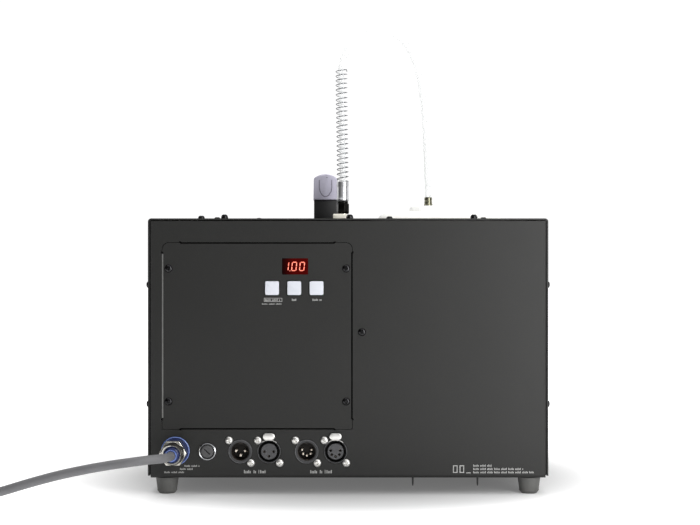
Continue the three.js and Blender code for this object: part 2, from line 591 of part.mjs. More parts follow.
// Mains lead: the tube to the ground, the coil's outer shape with its two run-ins, the tail and the plug.
function addMainsLead() {
  const { x, y, inner, outer, first, last, low, high, stub } = COIL;
  const height = high + CORD / 2;
  add("cord", tube(CORD_ROUTE, CORD / 2, 24, 5), "cord");
  const ring = turned([[inner, 0], [outer, 0], [outer, height], [inner, height], [inner, 0]], "+Z", 32);
  const runIn = rod(CORD / 2, 0, stub - GAP, "+X", 12).translate(0, -first, low);
  const runOut = rod(CORD / 2, 0, stub - GAP, "+Y", 12).translate(-last, 0, high);
  add("cord_coil", join(ring, runIn, runOut), "cord", [x, y, 0]);
  const tail = [[x - last, y + stub, high]];
  for (let i = 0; i <= 6; i += 1) {
    const a = (Math.PI / 2) * (i / 6);
    tail.push([x - last + TAIL_BEND * (1 - Math.cos(a)), y + stub + RUN + TAIL_BEND * Math.sin(a),
      high + (PLUG.radius - high) * (i / 6)]);
  }
  const plugAt = [x - last + TAIL_BEND + RUN, y + stub + RUN + TAIL_BEND, PLUG.radius];
  tail.push(plugAt);
  add("cord_tail", tube(tail, CORD / 2, 8, 5), "cord");
  const { radius, length, relief, pin } = PLUG;
  const body = turned([[0, GAP], [5, GAP], [6.5, relief], [radius - 2, relief + 2], [radius, relief + 5],
    [radius, relief + length - 2], [radius - 1.5, relief + length], [0, relief + length]], "+X");
  const pins = [-9.5, 9.5].map((side) =>
    rod(2.4, relief + length - 2, relief + length + pin, "+X", 12).translate(0, side, 0));
  add("plug", join(body, ...pins), "blackPlastic", plugAt);
}

addChassis();
addServiceFrame();
addServicePanel();
addCover();
addFrontPanel();
addWellWalls();
addFeet();
addHandle();
addDisplay();
addKeys();
addControlBoard();
SOCKETS.forEach(addSocket);
addFuse();
addGland();
addHoseFitting();
addHose();
addCanister();
addHeater();
addPump();
addFan();
addPowerParts();
addInnerHoses();
addMainsLead();

export default machine;
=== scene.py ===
import json
import math

import bmesh
import bpy
from mathutils import Matrix, Vector


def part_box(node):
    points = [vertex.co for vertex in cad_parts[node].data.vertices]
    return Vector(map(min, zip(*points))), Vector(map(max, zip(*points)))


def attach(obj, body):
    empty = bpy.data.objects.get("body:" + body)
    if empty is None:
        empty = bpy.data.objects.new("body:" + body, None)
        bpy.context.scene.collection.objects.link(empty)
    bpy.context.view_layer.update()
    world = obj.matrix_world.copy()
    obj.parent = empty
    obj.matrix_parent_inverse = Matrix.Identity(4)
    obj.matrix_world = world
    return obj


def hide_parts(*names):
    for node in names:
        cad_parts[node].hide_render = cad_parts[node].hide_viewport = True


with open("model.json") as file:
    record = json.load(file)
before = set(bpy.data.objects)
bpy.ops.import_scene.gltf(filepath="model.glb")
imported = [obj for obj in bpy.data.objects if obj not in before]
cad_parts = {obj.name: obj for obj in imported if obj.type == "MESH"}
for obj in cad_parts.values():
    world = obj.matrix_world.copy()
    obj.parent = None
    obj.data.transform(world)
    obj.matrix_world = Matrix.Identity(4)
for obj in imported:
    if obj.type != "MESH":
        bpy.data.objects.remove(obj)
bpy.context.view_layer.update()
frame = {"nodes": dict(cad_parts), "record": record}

# The scene is in metres. Sizes of small pieces are written in millimetres and go through MM.
MM = 0.001


def low(node):
    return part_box(node)[0]


def high(node):
    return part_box(node)[1]


def middle(node):
    return (low(node) + high(node)) / 2


REAR = low("cover").y
FRONT = high("cover").y
TOP = high("cover").z
SIDE = high("cover").x
BASE = low("chassis").z

# Local +Z of a piece turned to face away from each side of the machine.
FACING = {
    "rear": Matrix.Rotation(math.radians(90), 4, "X"),
    "front": Matrix.Rotation(math.radians(-90), 4, "X"),
    "up": Matrix.Identity(4),
    "down": Matrix.Rotation(math.radians(180), 4, "X"),
    "left": Matrix.Rotation(math.radians(-90), 4, "Y"),
    "right": Matrix.Rotation(math.radians(90), 4, "Y"),
}


# ---------------------------------------------------------------- materials

def linear(code):
    """A hex colour in sRGB as linear red, green, blue and alpha."""
    parts = [int(code[i:i + 2], 16) / 255 for i in (1, 3, 5)]
    return (*[c / 12.92 if c <= 0.04045 else ((c + 0.055) / 1.055) ** 2.4 for c in parts], 1.0)


def add_node(tree, kind, inputs=None, **settings):
    made = tree.nodes.new(kind)
    for name, value in settings.items():
        setattr(made, name, value)
    for name, value in (inputs or {}).items():
        if isinstance(value, bpy.types.NodeSocket):
            tree.links.new(value, made.inputs[name])
        else:
            made.inputs[name].default_value = value
    return made


def start_material(name, colour, roughness, metallic=0.0, **extra):
    """A principled material with its constant values set on the shader itself."""
    made = bpy.data.materials.new(name)
    made.use_nodes = True
    tree = made.node_tree
    shader = tree.nodes["Principled BSDF"]
    shader.inputs["Base Color"].default_value = linear(colour)
    shader.inputs["Roughness"].default_value = roughness
    shader.inputs["Metallic"].default_value = metallic
    for socket, value in extra.items():
        shader.inputs[socket.replace("_", " ")].default_value = value
    coords = add_node(tree, "ShaderNodeTexCoord").outputs["Object"]
    return made, tree, shader, coords


def speckle(tree, vector, size, lowest, highest, detail=3.0, contrast=0.25):
    """Noise of a given grain in metres, spread between two values."""
    noise = add_node(tree, "ShaderNodeTexNoise", {"Vector": vector, "Scale": 1 / size, "Detail": detail})
    spread = add_node(tree, "ShaderNodeMapRange", {
        "Value": noise.outputs[0], "From Min": 0.5 - contrast, "From Max": 0.5 + contrast,
        "To Min": lowest, "To Max": highest})
    return spread.outputs[0]


def blend_colours(tree, factor, first, second):
    mix = add_node(tree, "ShaderNodeMix", data_type="RGBA")
    tree.links.new(factor, mix.inputs[0])
    mix.inputs[6].default_value = linear(first)
    mix.inputs[7].default_value = linear(second)
    return mix.outputs[2]


def link_bump(tree, shader, height, strength, distance):
    bump = add_node(tree, "ShaderNodeBump", {"Height": height, "Strength": strength, "Distance": distance})
    tree.links.new(bump.outputs[0], shader.inputs["Normal"])


def surface_detail(tree, shader, coords, pair, patch, grain, rough, bump, depth):
    """Colour that drifts over a patch size, roughness that varies with it, and a fine grain in relief."""
    tree.links.new(blend_colours(tree, speckle(tree, coords, patch, 0, 1), *pair),
                   shader.inputs["Base Color"])
    tree.links.new(speckle(tree, coords, patch * 0.6, *rough), shader.inputs["Roughness"])
    link_bump(tree, shader, speckle(tree, coords, grain, 0, 1), bump, depth)


def powder_coat():
    # Polyester powder coat, sprayed and baked: a fine orange-peel grain that breaks every highlight.
    # Its real grain is 0.3 mm, drawn at 0.9 mm so that it shows.
    made, tree, shader, coords = start_material("powder_coat_fine_texture", "#171716", 0.5)
    shader.inputs["Specular IOR Level"].default_value = 0.42
    fine = speckle(tree, coords, 0.9 * MM, 0, 1, detail=2)
    drift = speckle(tree, coords, 70 * MM, 0.46, 0.54)
    tree.links.new(blend_colours(tree, fine, "#141413", "#1a1a18"), shader.inputs["Base Color"])
    tree.links.new(drift, shader.inputs["Roughness"])
    link_bump(tree, shader, fine, 0.25, 0.06 * MM)
    return made


def zinc_sheet():
    # Zinc-coated sheet: grey spangle about 9 mm across, with soft, cloudy reflections.
    made, tree, shader, coords = start_material("zinc_plated_sheet", "#a9abac", 0.38, 0.9)
    cells = add_node(tree, "ShaderNodeTexVoronoi", {"Vector": coords, "Scale": 1 / (9 * MM)})
    tone = add_node(tree, "ShaderNodeSeparateColor", {"Color": cells.outputs["Color"]}).outputs[0]
    tree.links.new(blend_colours(tree, tone, "#9a9c9e", "#b6b8b9"), shader.inputs["Base Color"])
    tree.links.new(speckle(tree, coords, 12 * MM, 0.3, 0.46), shader.inputs["Roughness"])
    return made


def moulded(name, first, second, rough=(0.42, 0.58), grain=0.7, depth=0.04, **extra):
    # Injection-moulded plastic or rubber: spark-eroded grain, glossier in patches that have worn smooth.
    # Its real grain is about 0.1 mm, drawn coarser so that it shows.
    made, tree, shader, coords = start_material(name, first, sum(rough) / 2, **extra)
    surface_detail(tree, shader, coords, (first, second), 18 * MM, grain * MM, rough, 0.3, depth * MM)
    return made


def plated(name, first, second, rough=(0.12, 0.26), metallic=1.0):
    # Plated, cast or drawn metal: a fine haze and small darker stains. Its real grain is under 0.1 mm,
    # drawn at 0.5 mm so that it shows.
    made, tree, shader, coords = start_material(name, first, sum(rough) / 2, metallic)
    surface_detail(tree, shader, coords, (first, second), 3 * MM, 0.5 * MM, rough, 0.08, 0.02 * MM)
    return made


def translucent(name, first, second, rough, weight, radius, **extra):
    # Unfilled polyolefin or polyamide: milky, light enters it and comes back softened.
    # Its faint glow stands for light that has come through from the far side.
    made, tree, shader, coords = start_material(
        name, first, sum(rough) / 2, Subsurface_Weight=weight, Subsurface_Radius=(radius, radius, radius),
        Subsurface_Scale=1.0, **extra)
    surface_detail(tree, shader, coords, (first, second), 35 * MM, 1.6 * MM, rough, 0.12, 0.08 * MM)
    return made


def gap_shade_material():
    # Painted shade for the gaps round the service panel: a black sheet with no sheen stands for the shadow
    # down in the gaps over it.
    made, tree, shader, coords = start_material("gap_shade_sheet", "#030303", 0.95, Specular_IOR_Level=0.0)
    surface_detail(tree, shader, coords, ("#020202", "#060606"), 4 * MM, 0.6 * MM, (0.9, 1.0), 0.5, 0.2 * MM)
    return made


def lens():
    # Cast red filter over the digits: nearly black, polished, with faint dust.
    # Light from the digits spreads in it towards their side.
    dark_until, brightest_from = -57.5 * MM, -50 * MM
    made, tree, shader, coords = start_material("red_filter_acrylic", "#240202", 0.2, Specular_IOR_Level=0.04)
    tree.links.new(speckle(tree, coords, 1.5 * MM, 0.16, 0.3), shader.inputs["Roughness"])
    tree.links.new(blend_colours(tree, speckle(tree, coords, 6 * MM, 0, 1), "#120101", "#240202"),
                   shader.inputs["Base Color"])
    across = add_node(tree, "ShaderNodeSeparateXYZ", {"Vector": coords}).outputs["X"]
    spread = add_node(tree, "ShaderNodeMapRange", {
        "Value": across, "From Min": dark_until, "From Max": brightest_from, "To Min": 0.0, "To Max": 0.055})
    shader.inputs["Emission Color"].default_value = linear("#ff1408")
    tree.links.new(spread.outputs[0], shader.inputs["Emission Strength"])
    return made


def glowing():
    # Lit display segments, a little uneven along each stroke.
    made, tree, shader, coords = start_material("lit_red_segment", "#ff6a50", 0.4)
    heat = blend_colours(tree, speckle(tree, coords, 1.2 * MM, 0, 1), "#ff5a3c", "#ffa18c")
    tree.links.new(heat, shader.inputs["Emission Color"])
    tree.links.new(heat, shader.inputs["Base Color"])
    shader.inputs["Emission Strength"].default_value = 0.8
    return made


def print_ink():
    # Screen-printed ink: light grey, laid a little unevenly.
    made, tree, shader, coords = start_material("screen_print_ink", "#a8a8a6", 0.6)
    tree.links.new(blend_colours(tree, speckle(tree, coords, 0.5 * MM, 0, 1), "#8f8f8d", "#b4b4b2"),
                   shader.inputs["Base Color"])
    tree.links.new(speckle(tree, coords, 2 * MM, 0.5, 0.7), shader.inputs["Roughness"])
    return made


def circuit_board():
    # Glass-epoxy board under green solder mask, with tracks showing as a faint relief.
    made, tree, shader, coords = start_material("solder_mask_green", "#1f5a35", 0.35)
    bricks = add_node(tree, "ShaderNodeTexBrick", {
        "Vector": coords, "Scale": 1 / (9 * MM), "Color1": linear("#1f5a35"), "Color2": linear("#1a4f2f"),
        "Mortar": linear("#2c7446"), "Mortar Size": 0.05})
    tree.links.new(bricks.outputs[0], shader.inputs["Base Color"])
    tree.links.new(speckle(tree, coords, 4 * MM, 0.3, 0.45), shader.inputs["Roughness"])
    link_bump(tree, shader, bricks.outputs[1], 0.3, 0.1 * MM)
    return made


MATERIALS = {
    "powder_coat": powder_coat(),
    "zinc_sheet": zinc_sheet(),
    "foot_rubber": moulded("moulded_rubber", "#545452", "#5e5e5c", (0.6, 0.75), 0.5, 0.08),
    "black_plastic": moulded("nylon_black_moulded", "#1b1b1c", "#242425"),
    "grey_plastic": moulded("satin_grey_moulded", "#c2bfd0", "#ccc9da", (0.36, 0.5), 0.8, 0.05),
    "display_lens": lens(),
    "key_plastic": moulded("pale_key_moulded", "#cbced5", "#d2d5dd", (0.25, 0.36), 0.6, 0.015),
    "circuit_board": circuit_board(),
    "nickel_plate": plated("nickel_plate_barrel", "#d8d6d0", "#c3c0b8"),
    "chrome_plate": plated("chrome_plate_bright", "#d2d3d6", "#bfc1c5", (0.06, 0.14)),
    "blue_plastic": moulded("navy_nylon_moulded", "#16234f", "#1d2d62", (0.25, 0.4), 0.5, 0.02),
    # Painted highlight: lighter blue for the edges of the gland's washer and seal, standing for the light
    # their rounded lips catch.
    "blue_edge_highlight": moulded("blue_painted_edge_highlight", "#6378b6", "#7388c4", (0.2, 0.3), 0.5, 0.02),
    "ivory_plastic": moulded("ivory_nylon_moulded", "#fdf9ea", "#fffcf0", (0.45, 0.6)),
    "hose_plastic": translucent("hose_clear_polyamide", "#dcdede", "#e4e6e6", (0.2, 0.3), 0.3, 3 * MM,
                                Alpha=0.5, Emission_Color=(1, 1, 1, 1), Emission_Strength=0.19),
    "canister_plastic": translucent("natural_polyethylene", "#efefe9", "#f7f7f2", (0.38, 0.5), 0.35, 6 * MM,
                                    Emission_Color=(1, 1, 0.98, 1), Emission_Strength=0.1),
    "cast_aluminium": plated("sand_cast_aluminium", "#9c9d9e", "#b0b1b2", (0.4, 0.6)),
    "nozzle_steel": plated("turned_steel", "#a2a19e", "#8d8b87", (0.25, 0.4)),
    "core_iron": plated("laminated_core_iron", "#57524b", "#3f3b36", (0.5, 0.7)),
    "cord_jacket": moulded("grey_jacket_rubber", "#636365", "#6c6c6e", (0.5, 0.62), 0.9, 0.05),
    # Painted highlight: contacts have hardly any metallic reflection here and a near-white colour, so that
    # their tips stay pale in a dark socket, as their glints would show.
    "contact_pale_highlight": plated("gold_contact_painted_highlight", "#fff6ea", "#fff0dc", (0.2, 0.35), 0.1),
    # Painted highlight: the sockets' rims are a lighter grey than their shells, standing for the light their
    # rounded edges catch.
    "socket_rim_highlight": moulded("socket_rim_painted_highlight", "#545456", "#626264", (0.35, 0.5), 0.5, 0.02),
    "socket_shell": moulded("socket_shell_grey", "#2a2a2c", "#343436", (0.35, 0.5), 0.5, 0.02),
    "insert_grey": moulded("socket_insert_grey", "#424244", "#4c4c4e", (0.5, 0.62), 0.5, 0.03),
    "fuse_grey": moulded("fuse_cap_grey", "#454546", "#505051", (0.45, 0.6), 0.5, 0.03),
    # Painted shade inside the handle caps' sunk shield and dot.
    "groove_painted_shade": moulded("shaded_grey_line", "#6f6c7e", "#7c798b", (0.5, 0.6), 0.5, 0.02),
    "gap_shade_black": gap_shade_material(),
    "deep_black": moulded("socket_can_black", "#070707", "#0d0d0d", (0.5, 0.65), 0.5, 0.02),
    "dark_recess": moulded("moulded_brown_black", "#17100c", "#21170f", (0.5, 0.7)),
    "screw_black": plated("blackened_steel", "#2c2c2d", "#3a3a3b", (0.12, 0.24)),
    "screw_bright": plated("nickel_screw", "#f0efec", "#e2e0dc", (0.28, 0.4)),
    "black_nickel": plated("black_nickel_plate", "#161615", "#22211f", (0.1, 0.2)),
    "spring_steel": plated("drawn_spring_wire", "#85868a", "#727376", (0.08, 0.16)),
    "brushed_sleeve": plated("brushed_steel_sleeve", "#dadbdd", "#cccdd0", (0.28, 0.38)),
    "olive_brass": plated("oxidised_brass", "#8d8b78", "#7b7a66", (0.2, 0.32)),
    "cap_polyethylene": translucent("white_polyethylene", "#f6f6f4", "#fbfbfa", (0.4, 0.5), 0.25, 4 * MM,
                                    Emission_Color=(1, 1, 1, 1), Emission_Strength=0.16),
    "print_ink": print_ink(),
    "lit_segment": glowing(),
    # Painted highlight for the service panel's left edge, in lighter metal.
    "edge_highlight_metal": plated("painted_edge_highlight", "#8d8d8c", "#7f7f7d", (0.4, 0.55)),
}


# ---------------------------------------------------------------- making pieces

def place(bm, facing, at):
    bmesh.ops.transform(bm, matrix=Matrix.Translation(Vector(at)) @ FACING[facing], verts=bm.verts)
    return bm


def rotate(bm, angle, axis="Z"):
    bmesh.ops.rotate(bm, verts=bm.verts, cent=(0, 0, 0), matrix=Matrix.Rotation(angle, 3, axis))
    return bm


def move(bm, *by):
    bmesh.ops.translate(bm, verts=bm.verts, vec=by)
    return bm


def finish_piece(name, bm, body, material, replaced=(), sharp=32):
    """The finished mesh as a piece: merged, faces out, shaded smooth up to an angle, riding on its body."""
    bmesh.ops.remove_doubles(bm, verts=bm.verts, dist=0.002 * MM)
    bmesh.ops.recalc_face_normals(bm, faces=bm.faces)
    for face in bm.faces:
        face.smooth = True
    for edge in bm.edges:
        edge.smooth = edge.calc_face_angle(0) < math.radians(sharp)
    mesh = bpy.data.meshes.new(name)
    bm.to_mesh(mesh)
    bm.free()
    made = bpy.data.objects.new(name, mesh)
    bpy.context.scene.collection.objects.link(made)
    mesh.materials.append(MATERIALS[material])
    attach(made, body)
    if replaced:
        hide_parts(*replaced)
    return made


def fixed(name, bm, facing, at, material, replaced=(), sharp=32):
    """A finished piece of the housing, turned to face one way and set down in its place."""
    return finish_piece(name, place(bm, facing, at), "housing", material, replaced, sharp)


def turn(profile, steps=48):
    """A profile of (radius, height) in millimetres, spun about local Z."""
    bm = bmesh.new()
    verts = [bm.verts.new((r * MM, 0, h * MM)) for r, h in profile]
    edges = [bm.edges.new(pair) for pair in zip(verts, verts[1:])]
    bmesh.ops.spin(bm, geom=verts + edges, cent=(0, 0, 0), axis=(0, 0, 1), angle=2 * math.pi,
                   steps=steps, use_merge=True)
    bmesh.ops.remove_doubles(bm, verts=bm.verts, dist=0.001 * MM)
    bmesh.ops.recalc_face_normals(bm, faces=bm.faces)
    return bm


def slab(outline, depth, start=0.0):
    """A flat outline in millimetres, raised along local Z."""
    bm = bmesh.new()
    face = bm.faces.new([bm.verts.new((x * MM, y * MM, start * MM)) for x, y in outline])
    raised = bmesh.ops.extrude_face_region(bm, geom=[face])["geom"]
    bmesh.ops.translate(bm, verts=[v for v in raised if isinstance(v, bmesh.types.BMVert)],
                        vec=(0, 0, depth * MM))
    bmesh.ops.recalc_face_normals(bm, faces=bm.faces)
    return bm


def brick(lowest, highest):
    """A block between two corners, in metres."""
    bm = bmesh.new()
    bmesh.ops.create_cube(bm, size=1.0)
    lowest, highest = Vector(lowest), Vector(highest)
    bmesh.ops.scale(bm, vec=highest - lowest, verts=bm.verts)
    bmesh.ops.translate(bm, vec=(lowest + highest) / 2, verts=bm.verts)
    return bm


def soften(bm, width, segments=2, angle=30, only=None):
    """Rounds every edge sharper than an angle, or those that a test picks."""
    bm.normal_update()
    chosen = [e for e in bm.edges if e.calc_face_angle(0) > math.radians(angle) and (only is None or only(e))]
    bmesh.ops.bevel(bm, geom=chosen, offset=width * MM, offset_type="OFFSET", segments=segments,
                    profile=0.5, affect="EDGES", material=-1, clamp_overlap=True)
    return bm


def merge(*meshes):
    """Several closed shapes in one mesh."""
    whole = bmesh.new()
    for bm in meshes:
        holder = bpy.data.meshes.new("holder")
        bm.to_mesh(holder)
        bm.free()
        whole.from_mesh(holder)
        bpy.data.meshes.remove(holder)
    return whole


def carve(bm, cutter):
    """What is left of one shape when another is cut out of it."""
    holders = []
    for part in (bm, cutter):
        bmesh.ops.recalc_face_normals(part, faces=part.faces)
        mesh = bpy.data.meshes.new("carving")
        part.to_mesh(mesh)
        part.free()
        holder = bpy.data.objects.new("carving", mesh)
        bpy.context.scene.collection.objects.link(holder)
        holders.append(holder)
    target, tool = holders
    cut = target.modifiers.new("cut", "BOOLEAN")
    cut.operation = "DIFFERENCE"
    cut.solver = "EXACT"
    cut.object = tool
    shaped = target.evaluated_get(bpy.context.evaluated_depsgraph_get()).to_mesh()
    left = bmesh.new()
    left.from_mesh(shaped)
    for holder in holders:
        mesh = holder.data
        bpy.data.objects.remove(holder)
        bpy.data.meshes.remove(mesh)
    return left


def arc(cx, cy, radius, start, end, steps):
    span = [math.radians(start + (end - start) * i / steps) for i in range(steps + 1)]
    return [(cx + radius * math.cos(a), cy + radius * math.sin(a)) for a in span]


def rounded(width, height, radius, steps=5):
    x, y = width / 2 - radius, height / 2 - radius
    return (arc(x, y, radius, 0, 90, steps) + arc(-x, y, radius, 90, 180, steps)
            + arc(-x, -y, radius, 180, 270, steps) + arc(x, -y, radius, 270, 360, steps))


def hexagon(across_flats, turned=0.0):
    corner = across_flats / math.sqrt(3)
    angles = [math.radians(60 * i + turned) for i in range(6)]
    return [(corner * math.cos(a), corner * math.sin(a)) for a in angles]


# ---------------------------------------------------------------- camera, floor and light

CAMERA_X = 1.7 * MM
CAMERA_DISTANCE = 1.4
CAMERA_HEIGHT = 208.7 * MM


def set_camera():
    """Level with the display and square to the rear wall."""
    data = bpy.data.cameras.new("camera")
    data.sensor_width = 36
    data.lens = 80.1
    camera = bpy.data.objects.new("camera", data)
    camera.location = (CAMERA_X, REAR - CAMERA_DISTANCE, CAMERA_HEIGHT)
    camera.rotation_euler = (math.radians(90), 0, 0)
    bpy.context.scene.collection.objects.link(camera)
    bpy.context.scene.camera = camera


def add_softbox(name, at, aim, width, height, power, colour=(1, 1, 1)):
    data = bpy.data.lights.new(name, "AREA")
    data.shape = "RECTANGLE"
    data.size = width
    data.size_y = height
    data.energy = power
    data.color = colour
    lamp = bpy.data.objects.new(name, data)
    lamp.location = at
    lamp.rotation_euler = (Vector(aim) - Vector(at)).to_track_quat("-Z", "Y").to_euler()
    bpy.context.scene.collection.objects.link(lamp)


def add_card(name, lowest, highest, material):
    """A board of the studio: the floor, or a flag beside the machine that polished parts mirror."""
    bm = brick(lowest, highest)
    mesh = bpy.data.meshes.new(name)
    bm.to_mesh(mesh)
    bm.free()
    card = bpy.data.objects.new(name, mesh)
    bpy.context.scene.collection.objects.link(card)
    mesh.materials.append(material)
    return card


def set_stage():
    scene = bpy.context.scene
    scene.view_settings.view_transform = "Standard"
    world = bpy.data.worlds.new("studio")
    world.use_nodes = True
    tree = world.node_tree
    background = tree.nodes["Background"]
    # A bright sweep behind the machine; in front of it the light tent is dim, most of all to the left.
    direction = add_node(tree, "ShaderNodeTexCoord").outputs["Generated"]
    axes = add_node(tree, "ShaderNodeSeparateXYZ", {"Vector": direction})
    tent = add_node(tree, "ShaderNodeMapRange", {
        "Value": axes.outputs["X"], "From Min": -0.75, "From Max": 0.35, "To Min": 0.08, "To Max": 0.48})
    level = add_node(tree, "ShaderNodeMapRange", {
        "Value": axes.outputs["Y"], "From Min": -0.1, "From Max": 0.5, "To Min": tent.outputs[0],
        "To Max": 1.06})
    tree.links.new(level.outputs[0], background.inputs["Strength"])
    background.inputs["Color"].default_value = (1, 1, 1, 1)
    scene.world = world
    paper, tree, shader, coords = start_material("paper_sweep", "#f4f4f4", 0.9)
    shader.inputs["Emission Color"].default_value = (1, 1, 1, 1)
    shader.inputs["Specular IOR Level"].default_value = 0.0
    # Painted shadow round the machine: the floor's colour darkens towards the middle of the stage, standing
    # for the contact shadow under and in front of it.
    reach = add_node(tree, "ShaderNodeVectorMath", {0: coords}, operation="LENGTH").outputs["Value"]
    shade = add_node(tree, "ShaderNodeMapRange", {
        "Value": reach, "From Min": 0.13, "From Max": 0.26, "To Min": 0.0, "To Max": 1.0})
    tree.links.new(blend_colours(tree, shade.outputs[0], "#b0b0b0", "#f4f4f4"), shader.inputs["Base Color"])
    # Painted shadow, continued: the floor's glow is weakest near the machine and grows outward, so the
    # painted shadow fades out; towards the camera the glow fades away again.
    glow = add_node(tree, "ShaderNodeMapRange", {
        "Value": reach, "From Min": 0.2, "From Max": 0.5, "To Min": 0.14, "To Max": 0.9})
    ahead = add_node(tree, "ShaderNodeSeparateXYZ", {"Vector": coords}).outputs["Y"]
    behind = add_node(tree, "ShaderNodeMapRange", {
        "Value": ahead, "From Min": -0.6, "From Max": -0.3, "To Min": 0.0, "To Max": 1.0})
    share = add_node(tree, "ShaderNodeMath", {0: glow.outputs[0], 1: behind.outputs[0]}, operation="MULTIPLY")
    tree.links.new(share.outputs[0], shader.inputs["Emission Strength"])
    half, thickness = 12, 0.02
    add_card("floor", (-half, -half, -thickness), (half, half, 0), paper)
    flag = start_material("black_flag", "#050505", 0.9)[0]
    thin, near, bottom, top = 0.01, 0.1, 0.12, 0.75
    for name, x, far in (("left_flag", -1.01, 1.1), ("right_flag", 1.01, 0.85)):
        card = add_card(name, (x - thin, REAR - far, bottom), (x + thin, REAR - near, top), flag)
        card.visible_camera = False
    add_softbox("overhead", (0, 0.1, 2.0), (0, 0, 0.1), 2.2, 2.2, 28)
    add_softbox("right_strip", (0.42, REAR - 0.5, 0.2), (0.1, REAR, 0.15), 0.26, 1.1, 6)


set_camera()
set_stage()


# ---------------------------------------------------------------- cords

def smooth_route(points, step=6 * MM):
    """Points along one smooth curve through the given ones, spaced about a step apart."""
    points = [Vector(p) for p in points]
    ends = [2 * points[0] - points[1], *points, 2 * points[-1] - points[-2]]
    route = []
    for a, b, c, d in zip(ends, ends[1:], ends[2:], ends[3:]):
        count = max(2, round((c - b).length / step))
        for i in range(count):
            t = i / count
            route.append(0.5 * ((2 * b) + (c - a) * t + (2 * a - 5 * b + 4 * c - d) * t * t
                                + (3 * b - a - 3 * c + d) * t ** 3))
    route.append(points[-1])
    return route


def draw_cord(name, route, diameter, body, material, replaced=(), sides=6):
    curve = bpy.data.curves.new(name, "CURVE")
    curve.dimensions = "3D"
    curve.bevel_depth = diameter / 2
    curve.bevel_resolution = sides - 2
    curve.use_fill_caps = True
    spline = curve.splines.new("POLY")
    spline.points.add(len(route) - 1)
    for point, at in zip(spline.points, route):
        point.co = (*at, 1)
    made = bpy.data.objects.new(name, curve)
    bpy.context.scene.collection.objects.link(made)
    curve.materials.append(MATERIALS[material])
    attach(made, body)
    if replaced:
        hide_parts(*replaced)
    return made


CORD = 8 * MM
# Points of the mains lead from the gland's seal down to the floor: world x, y and z.
CORD_ROUTE = [
    (-155.2, -170.3, 39.4), (-155.3, -177, 39.5), (-156.9, -185.6, 39.8), (-161.5, -195.2, 40.1),
    (-169.2, -203, 40.3), (-179.2, -208.3, 39.6), (-190.5, -210.6, 38.3), (-201.5, -211, 36.8),
    (-221, -211, 33.4), (-245, -210.5, 28.3), (-270, -210, 21.6), (-297, -209.4, 13.6),
    (-320, -208.8, 8.2), (-342, -208.4, 5.4), (-362, -208.1, 4.7), (-382, -208, 4.6),
]
COIL = {"x": -412, "y": -158, "first": 50, "pitch": 8.2, "inward": 2, "turns": 4.25, "low": 4.6, "high": 12.8}
RUN_OUT = 34
TAIL_BEND = 42
PLUG_RADIUS = 18


def coil_point(turns):
    """A point of the wound lead: inward on the ground, up a layer, and outward on top of it."""
    out = COIL["first"] - COIL["pitch"] * min(turns, 2 * COIL["inward"] - turns)
    step = min(1.0, max(0.0, (turns - COIL["inward"]) / 0.3 + 0.5))
    rise = step * step * (3 - 2 * step)
    angle = -math.pi / 2 - 2 * math.pi * turns
    return (COIL["x"] + out * math.cos(angle), COIL["y"] + out * math.sin(angle),
            COIL["low"] + (COIL["high"] - COIL["low"]) * rise)


def mains_lead():
    steps_per_turn = 24
    wound = [coil_point(i / steps_per_turn) for i in range(round(COIL["turns"] * steps_per_turn) + 1)]
    last = wound[-1]
    straight = [(last[0], last[1] + RUN_OUT, COIL["high"])]
    tail = [(last[0] + TAIL_BEND * (1 - math.cos(a)), last[1] + RUN_OUT + TAIL_BEND * math.sin(a),
             COIL["high"] + (PLUG_RADIUS - COIL["high"]) * a / (math.pi / 2))
            for a in [math.radians(15 * i) for i in range(1, 7)]]
    end = low("plug").x / MM
    tail.append((end, tail[-1][1], PLUG_RADIUS))
    route = smooth_route([Vector(p) * MM for p in CORD_ROUTE + wound + straight + tail], 4 * MM)
    cord = draw_cord("mains_lead", route, CORD, "housing", "cord_jacket", ("cord", "cord_coil", "cord_tail"))
    return cord, route


def mains_plug():
    """Round two-pin plug with a ribbed grip and a tapered sleeve over the lead."""
    at = Vector((low("plug").x, middle("plug").y, middle("plug").z))
    sleeve = [(0, 0), (4.6, 0)]
    for i in range(5):
        h = 2 + 4 * i
        sleeve += [(5.0 + 0.25 * i, h), (6.0 + 0.25 * i, h + 0.5), (6.0 + 0.25 * i, h + 2),
                   (5.0 + 0.3 * i, h + 2.5)]
    shell = [(6.6, 22), (14, 24), (16.6, 27), (18, 32), (18, 54), (17.4, 57.5), (16.4, 59), (0, 59)]
    body = turn(sleeve + shell, 40)
    grips = []
    for i in range(16):
        rib = soften(brick((-0.6 * MM, -0.7 * MM, 33 * MM), (0.5 * MM, 0.7 * MM, 51 * MM)), 0.3)
        grips.append(rotate(move(rib, 17.45 * MM, 0, 0), math.tau * i / 16))
    plug = fixed("mains_plug", merge(body, *grips), "right", at, "black_plastic",
                 ("plug",))
    pins = []
    for side in (-9.5, 9.5):
        pin = turn([(0, 58), (2.4, 58), (2.4, 76.5), (1.6, 78.6), (0, 78.7)], 20)
        pins.append(move(pin, 0, side * MM, 0))
    pins = fixed("mains_plug_pins", merge(*pins), "right", at, "nickel_plate")
    return plug, pins


def coil_tie():
    """Hook-and-loop strap round all the turns."""
    inner, outer = COIL["first"] - 2 * COIL["pitch"] - 4.4, COIL["first"] + 4.6
    width, height = outer - inner, COIL["high"] + 4.5
    ring = slab(rounded(width + 1.4, height + 0.5, 4), 9, -4.5)
    hole = slab(rounded(width + 0.2, height - 0.7, 3.4), 20, -10)
    strap = carve(ring, hole)
    move(rotate(strap, math.pi / 2, "X"), (inner + outer) / 2 * MM, 0, (height + 0.5) / 2 * MM)
    move(rotate(strap, math.radians(-60)), COIL["x"] * MM, COIL["y"] * MM, 0.05 * MM)
    return finish_piece("coil_tie", strap, "housing", "black_plastic")


HOSE = 6 * MM
